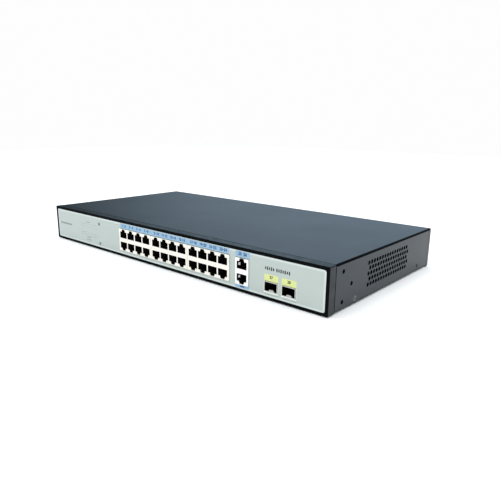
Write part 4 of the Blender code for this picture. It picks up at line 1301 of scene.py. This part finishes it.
def make_rotor(index, surface):
    low, _, middle = spot(f"fan_frame_{index}")
    start = low.x + 0.4 * MM
    end = start + 7.2 * MM
    bm = bmesh.new()
    profile = [(start + along * MM, radius * MM) for along, radius in ROTOR_FRONT]
    profile += [(end, FAN_HUB * MM), (end, 0.0)]
    add_lathe(bm, profile, middle, "x", 48)
    centre = Vector(((start + end) / 2, middle.y, middle.z))
    for blade in range(FAN_BLADES):
        add_blade(bm, 2 * math.pi * blade / FAN_BLADES, centre)
    rotor = soften(build(f"fan_blades_{index}", bm, surface), 0.12, 2, 60, 50)
    place(rotor, f"fan_rotor_{index}", "insert_black", f"fan_rotor_{index}")


def blade_point(out, across, side, spin, centre):
    """A point of a blade: out runs 0..1 from hub to tip, across -0.5..0.5, and side is a face."""
    radius = (FAN_HUB - 0.5 + out * (FAN_BORE - 0.8 - FAN_HUB + 0.5)) * MM
    lean = math.radians(90 - 52 + 16 * out)
    along = across * (7.4 + 4.2 * out) * MM
    camber = (0.25 - across ** 2) * 1.8 * MM
    lift = camber + side * 0.45 * MM * (1.0 - 0.75 * abs(2 * across))
    x = along * math.cos(lean) + lift * math.sin(lean)
    x = max(-3.5 * MM, min(3.5 * MM, x))
    angle = spin + 0.32 * out ** 1.5 + (along * math.sin(lean) - lift * math.cos(lean)) / radius
    return centre + Vector((x, radius * math.cos(angle), radius * math.sin(angle)))


def add_blade(bm, spin, centre):
    """One swept, twisted blade: steep at the hub, flatter and curved back at the tip."""
    sheets = {1: [], -1: []}
    for station in range(BLADE_STATIONS):
        out = station / (BLADE_STATIONS - 1)
        for side, rows in sheets.items():
            places = [step / BLADE_STEPS - 0.5 for step in range(BLADE_STEPS + 1)]
            rows.append([bm.verts.new(blade_point(out, across, side, spin, centre)) for across in places])
    for rows in sheets.values():
        for first, second in zip(rows, rows[1:]):
            for step in range(BLADE_STEPS):
                bm.faces.new((first[step], first[step + 1], second[step + 1], second[step]))
    front, back = sheets[1], sheets[-1]
    for row in range(BLADE_STATIONS - 1):
        for step in (0, -1):
            bm.faces.new((front[row][step], front[row + 1][step], back[row + 1][step], back[row][step]))
    for row in (0, -1):
        for step in range(BLADE_STEPS):
            bm.faces.new((front[row][step], front[row][step + 1], back[row][step + 1], back[row][step]))


# ---- CAD nodes that stay ----
def dress(surface, *starts):
    """Gives every CAD node whose name starts so the finished material."""
    for name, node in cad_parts.items():
        if name.startswith(starts):
            for slot in node.material_slots:
                slot.material = surface


# ---- Stage ----
def make_camera():
    azimuth, elevation, roll = (math.radians(a) for a in (CAMERA_AZIMUTH, CAMERA_ELEVATION, CAMERA_ROLL))
    level = Vector((math.cos(azimuth), math.sin(azimuth), 0.0))
    ahead = Vector((-math.sin(azimuth), math.cos(azimuth), 0.0))
    forward = ahead * math.cos(elevation) - Vector((0.0, 0.0, math.sin(elevation)))
    right = level * math.cos(roll) + level.cross(forward) * math.sin(roll)
    turn = Matrix((right, right.cross(forward), -forward)).transposed().to_4x4()
    data = bpy.data.cameras.new("camera")
    data.lens = CAMERA_LENS
    data.sensor_width = SENSOR
    data.clip_start = 0.01
    camera = bpy.data.objects.new("camera", data)
    camera.matrix_world = Matrix.Translation(CAMERA_PLACE) @ turn
    bpy.context.scene.collection.objects.link(camera)
    bpy.context.scene.camera = camera


def make_light():
    """A soft box overhead that lights matt surfaces but isn't mirrored in glossy ones."""
    data = bpy.data.lights.new("top_light", "AREA")
    data.shape = "RECTANGLE"
    data.size = LIGHT_SIZE
    data.size_y = LIGHT_SIZE
    data.energy = LIGHT_POWER
    light = bpy.data.objects.new("top_light", data)
    light.location.z = LIGHT_HEIGHT
    light.visible_glossy = False
    bpy.context.scene.collection.objects.link(light)


def make_world():
    """Even white light for matt surfaces, and for mirrored rays a dim room with soft panels."""
    world = bpy.data.worlds.new("studio")
    world.use_nodes = True
    bpy.context.scene.world = world
    world.node_tree.nodes.clear()
    made = Wiring(world.node_tree)
    direction = made.node("ShaderNodeTexCoord").outputs["Generated"]
    strength = ROOM_DIM
    for towards, inner, outer, brightest in ROOM_PANELS:
        dot = made.node("ShaderNodeVectorMath")
        dot.operation = "DOT_PRODUCT"
        dot.inputs[1].default_value = Vector(towards).normalized()
        made.link(direction, dot.inputs[0])
        edge, full = math.cos(math.radians(outer)), math.cos(math.radians(inner))
        glow = made.ramp(dot.outputs["Value"], edge, full, 0.0, brightest)
        glow.node.interpolation_type = "SMOOTHSTEP"
        strength = made.math("ADD", strength, glow)
    white = made.node("ShaderNodeBackground", Color=(1.0, 1.0, 1.0, 1.0), Strength=AMBIENT)
    room = made.node("ShaderNodeBackground", Color=colour(ROOM_COLOUR))
    made.link(strength, room.inputs["Strength"])
    mix = made.node("ShaderNodeMixShader")
    made.link(made.node("ShaderNodeLightPath").outputs["Is Glossy Ray"], mix.inputs[0])
    made.link(white.outputs[0], mix.inputs[1])
    made.link(room.outputs[0], mix.inputs[2])
    made.link(mix.outputs[0], made.node("ShaderNodeOutputWorld").inputs["Surface"])


def make_floor():
    bm = bmesh.new()
    bmesh.ops.create_grid(bm, x_segments=1, y_segments=1, size=FLOOR_HALF)
    paper = moulded("floor_white", (248, 251, 253), 0.9, 0.0, 300.0, 0.00002, (246, 250, 252))
    floor = build("floor", bm, paper)
    floor.location.z = -FLOOR_GAP


def make_stage():
    make_camera()
    make_world()
    make_floor()
    make_light()
    bpy.context.scene.view_settings.view_transform = "Standard"


# ---- Put together ----
COVER_COAT = powder_coat("cover_coat", (33, 37, 40), (214, 232, 248), 0.4, 0.43)
# Painted shade: a near-black copy of the cover coat for the cover's top bends.
BEND_SHADE = powder_coat("bend_painted_shade", (4, 5, 7), (196, 226, 255), 0.4, 0.04)
# Painted shade: a near-black copy of the coat for the walls of the cover's holes.
HOLE_SHADE = powder_coat("hole_painted_shade", (8, 9, 10), (255, 255, 255), 0.6, 0.05)
# The interior's black coat, made darker than the outer coat as painted shade of the inside of the case.
INNER_COAT_AND_SHADE = powder_coat("inner_coat_and_shade", (15, 16, 18), (220, 236, 255), 0.5, 0.15)
BEZEL_PLASTIC = moulded("bezel_plastic", (25, 32, 36), 0.42, 0.3, fade=(21, 27, 31))
# Painted shade: a darker, duller copy of the bezel plastic for its front faces, inner rim and neck.
BEZEL_SHADE = moulded("bezel_painted_shade", (8, 12, 13), 0.6, 0.03, fade=(6, 9, 10))
PANEL = panel_overlay()
LENS = lens_plastic("indicator_lens", (198, 208, 204))
WHITE = moulded("socket_white", (238, 235, 226), 0.4, 0.45, 900.0, 0.00002, (229, 225, 214))
# Black plastic, also used as painted shade inside the white socket openings and the tin shield.
BLACK_PLASTIC_AND_SHADE = moulded("socket_black_and_shade", (14, 14, 15), 0.55, 0.2, 1200.0, 0.00003, (20, 20, 22))
GOLD = plated("contact_gold", (176, 138, 64), 0.28, (128, 94, 42))
TIN = plated("tin_plate", (243, 243, 241), 0.34, (232, 233, 232), (1.0, 1.0, 0.2), 0.25)
# Painted highlight: a whiter, hardly metallic copy of the tin for the spring fingers, so they show as
# bright spots.
FINGER_HIGHLIGHT = plated("finger_painted_highlight", (252, 252, 250), 0.3, (240, 240, 238), metallic=0.1)
NICKEL = plated("nickel_plate", (214, 215, 210), 0.4, (190, 190, 184), (1.0, 0.15, 1.0), 0.5)
CAGE_DARK = plated("cage_shadow", (46, 45, 44), 0.5, (34, 33, 32), (1.0, 0.15, 1.0))
ZINC = plated("zinc_plate", (178, 181, 184), 0.38, (140, 144, 148))
DULL_ZINC = plated("dull_zinc", (118, 123, 127), 0.26, (78, 82, 86), metallic=0.85)
BLACK_ZINC = plated("black_zinc", (42, 44, 47), 0.36, (30, 31, 33))
INK_BLUE = printed("ink_blue", (138, 174, 202))
INK_YELLOW = printed("ink_yellow", (206, 215, 142))
INK_WHITE = printed("ink_white", (232, 236, 232))
# Grey ink, also used for a painted shade line above the socket blocks.
GREY_INK_AND_SHADE = printed("grey_ink_and_shade", (134, 144, 140))
INK_NAVY = printed("ink_navy", (28, 64, 112))
INK_DARK = printed("ink_dark", (34, 41, 41))
INLET_PLASTIC = moulded("inlet_plastic", (24, 25, 27), 0.42, 0.5, 1500.0, 0.00003, (30, 31, 34))
FAN_PLASTIC = moulded("fan_plastic", (20, 21, 23), 0.38, 0.5, 1300.0, 0.00003, (26, 27, 30))
BUTTON_PLASTIC = moulded("button_plastic", (112, 120, 116), 0.45, 0.4)

make_stage()
make_cover(COVER_COAT, INNER_COAT_AND_SHADE, HOLE_SHADE, BEND_SHADE)
make_bezel(BEZEL_PLASTIC, BEZEL_SHADE)
make_panel(PANEL)
for module in (1, 2, 3):
    make_jack_module(module, WHITE, BLACK_PLASTIC_AND_SHADE, GOLD)
make_uplink(TIN, FINGER_HIGHLIGHT, BLACK_PLASTIC_AND_SHADE, GOLD)
for cage in (1, 2):
    make_cage(cage, NICKEL, CAGE_DARK, BLACK_PLASTIC_AND_SHADE, GOLD)
make_side_screws(DULL_ZINC, BLACK_ZINC)
for screw, finish, slot, size, shank, spin in (
    ("rear_panel_screw_1", BLACK_ZINC, "screw_black", 2.8, 1.35, 12),
    ("rear_panel_screw_2", BLACK_ZINC, "screw_black", 2.8, 1.35, 55),
    ("ground_screw", ZINC, "screw_zinc", 3.8, 1.9, 30),
):
    make_rear_screw(screw, finish, slot, size * MM, shank * MM, spin)
for button in BUTTONS:
    make_button(button, BUTTON_PLASTIC)

make_prints(INK_BLUE, INK_YELLOW, INK_WHITE, GREY_INK_AND_SHADE, INK_NAVY, INK_DARK)
make_lenses(LENS)
make_rear_panel(COVER_COAT, INNER_COAT_AND_SHADE)
make_rear_marks(INK_WHITE)
make_inlet(INLET_PLASTIC, ZINC)
make_rocker(INLET_PLASTIC, INK_WHITE)
for fan in (1, 2):
    make_fan(fan, FAN_PLASTIC)
    make_rotor(fan, FAN_PLASTIC)

BRASS = plated("turned_brass", (186, 152, 84), 0.32, (150, 120, 62), (1.0, 1.0, 0.1))
ALUMINIUM = plated("extruded_aluminium", (178, 181, 186), 0.42, (150, 153, 158), (1.0, 0.08, 1.0))
BOARD_GREEN = circuit_board("board_mask", (18, 74, 42), (36, 104, 62), 160.0)
BOARD_TAN = circuit_board("board_phenolic", (168, 134, 78), (186, 152, 96), 110.0)
PIPE = lens_plastic("light_guide", (206, 214, 212))
CHIP = moulded("chip_epoxy", (26, 26, 28), 0.5, 0.4, 2400.0, 0.00002, (34, 34, 36))
FERRITE = moulded("ferrite", (52, 50, 50), 0.6, 0.35, 1100.0, 0.00008, (66, 63, 60))
SLEEVE = moulded("capacitor_sleeve", (24, 28, 56), 0.3, 0.5, 700.0, 0.00002, (36, 42, 74))
COPPER = wound_wire("enamelled_wire", (176, 92, 46), (120, 58, 26))
WIRE_RED = moulded("wire_red", (150, 26, 24), 0.45, 0.4, 1500.0, 0.00004, (120, 20, 20))
WIRE_BLACK = moulded("wire_black", (20, 20, 22), 0.45, 0.4, 1500.0, 0.00004, (32, 32, 34))
# The base pan and fan brackets get the darker interior coat, which is partly painted shade.
dress(INNER_COAT_AND_SHADE, "base_pan", "fan_bracket")
dress(BOARD_TAN, "power_board")
dress(BRASS, "board_standoff", "power_board_standoff")
dress(BOARD_GREEN, "main_board", "led_board")
dress(PIPE, "light_pipe")
dress(ZINC, "reset_switch", "mode_switch")
dress(CHIP, "switch_chip", "magnetics", "jack_terminals")
dress(ALUMINIUM, "switch_heatsink", "primary_heatsink", "secondary_heatsink")
dress(FERRITE, "power_transformer")
dress(SLEEVE, "bulk_capacitor")
dress(COPPER, "line_choke")
dress(WIRE_RED, "dc_harness")
dress(WIRE_BLACK, "ac_harness")
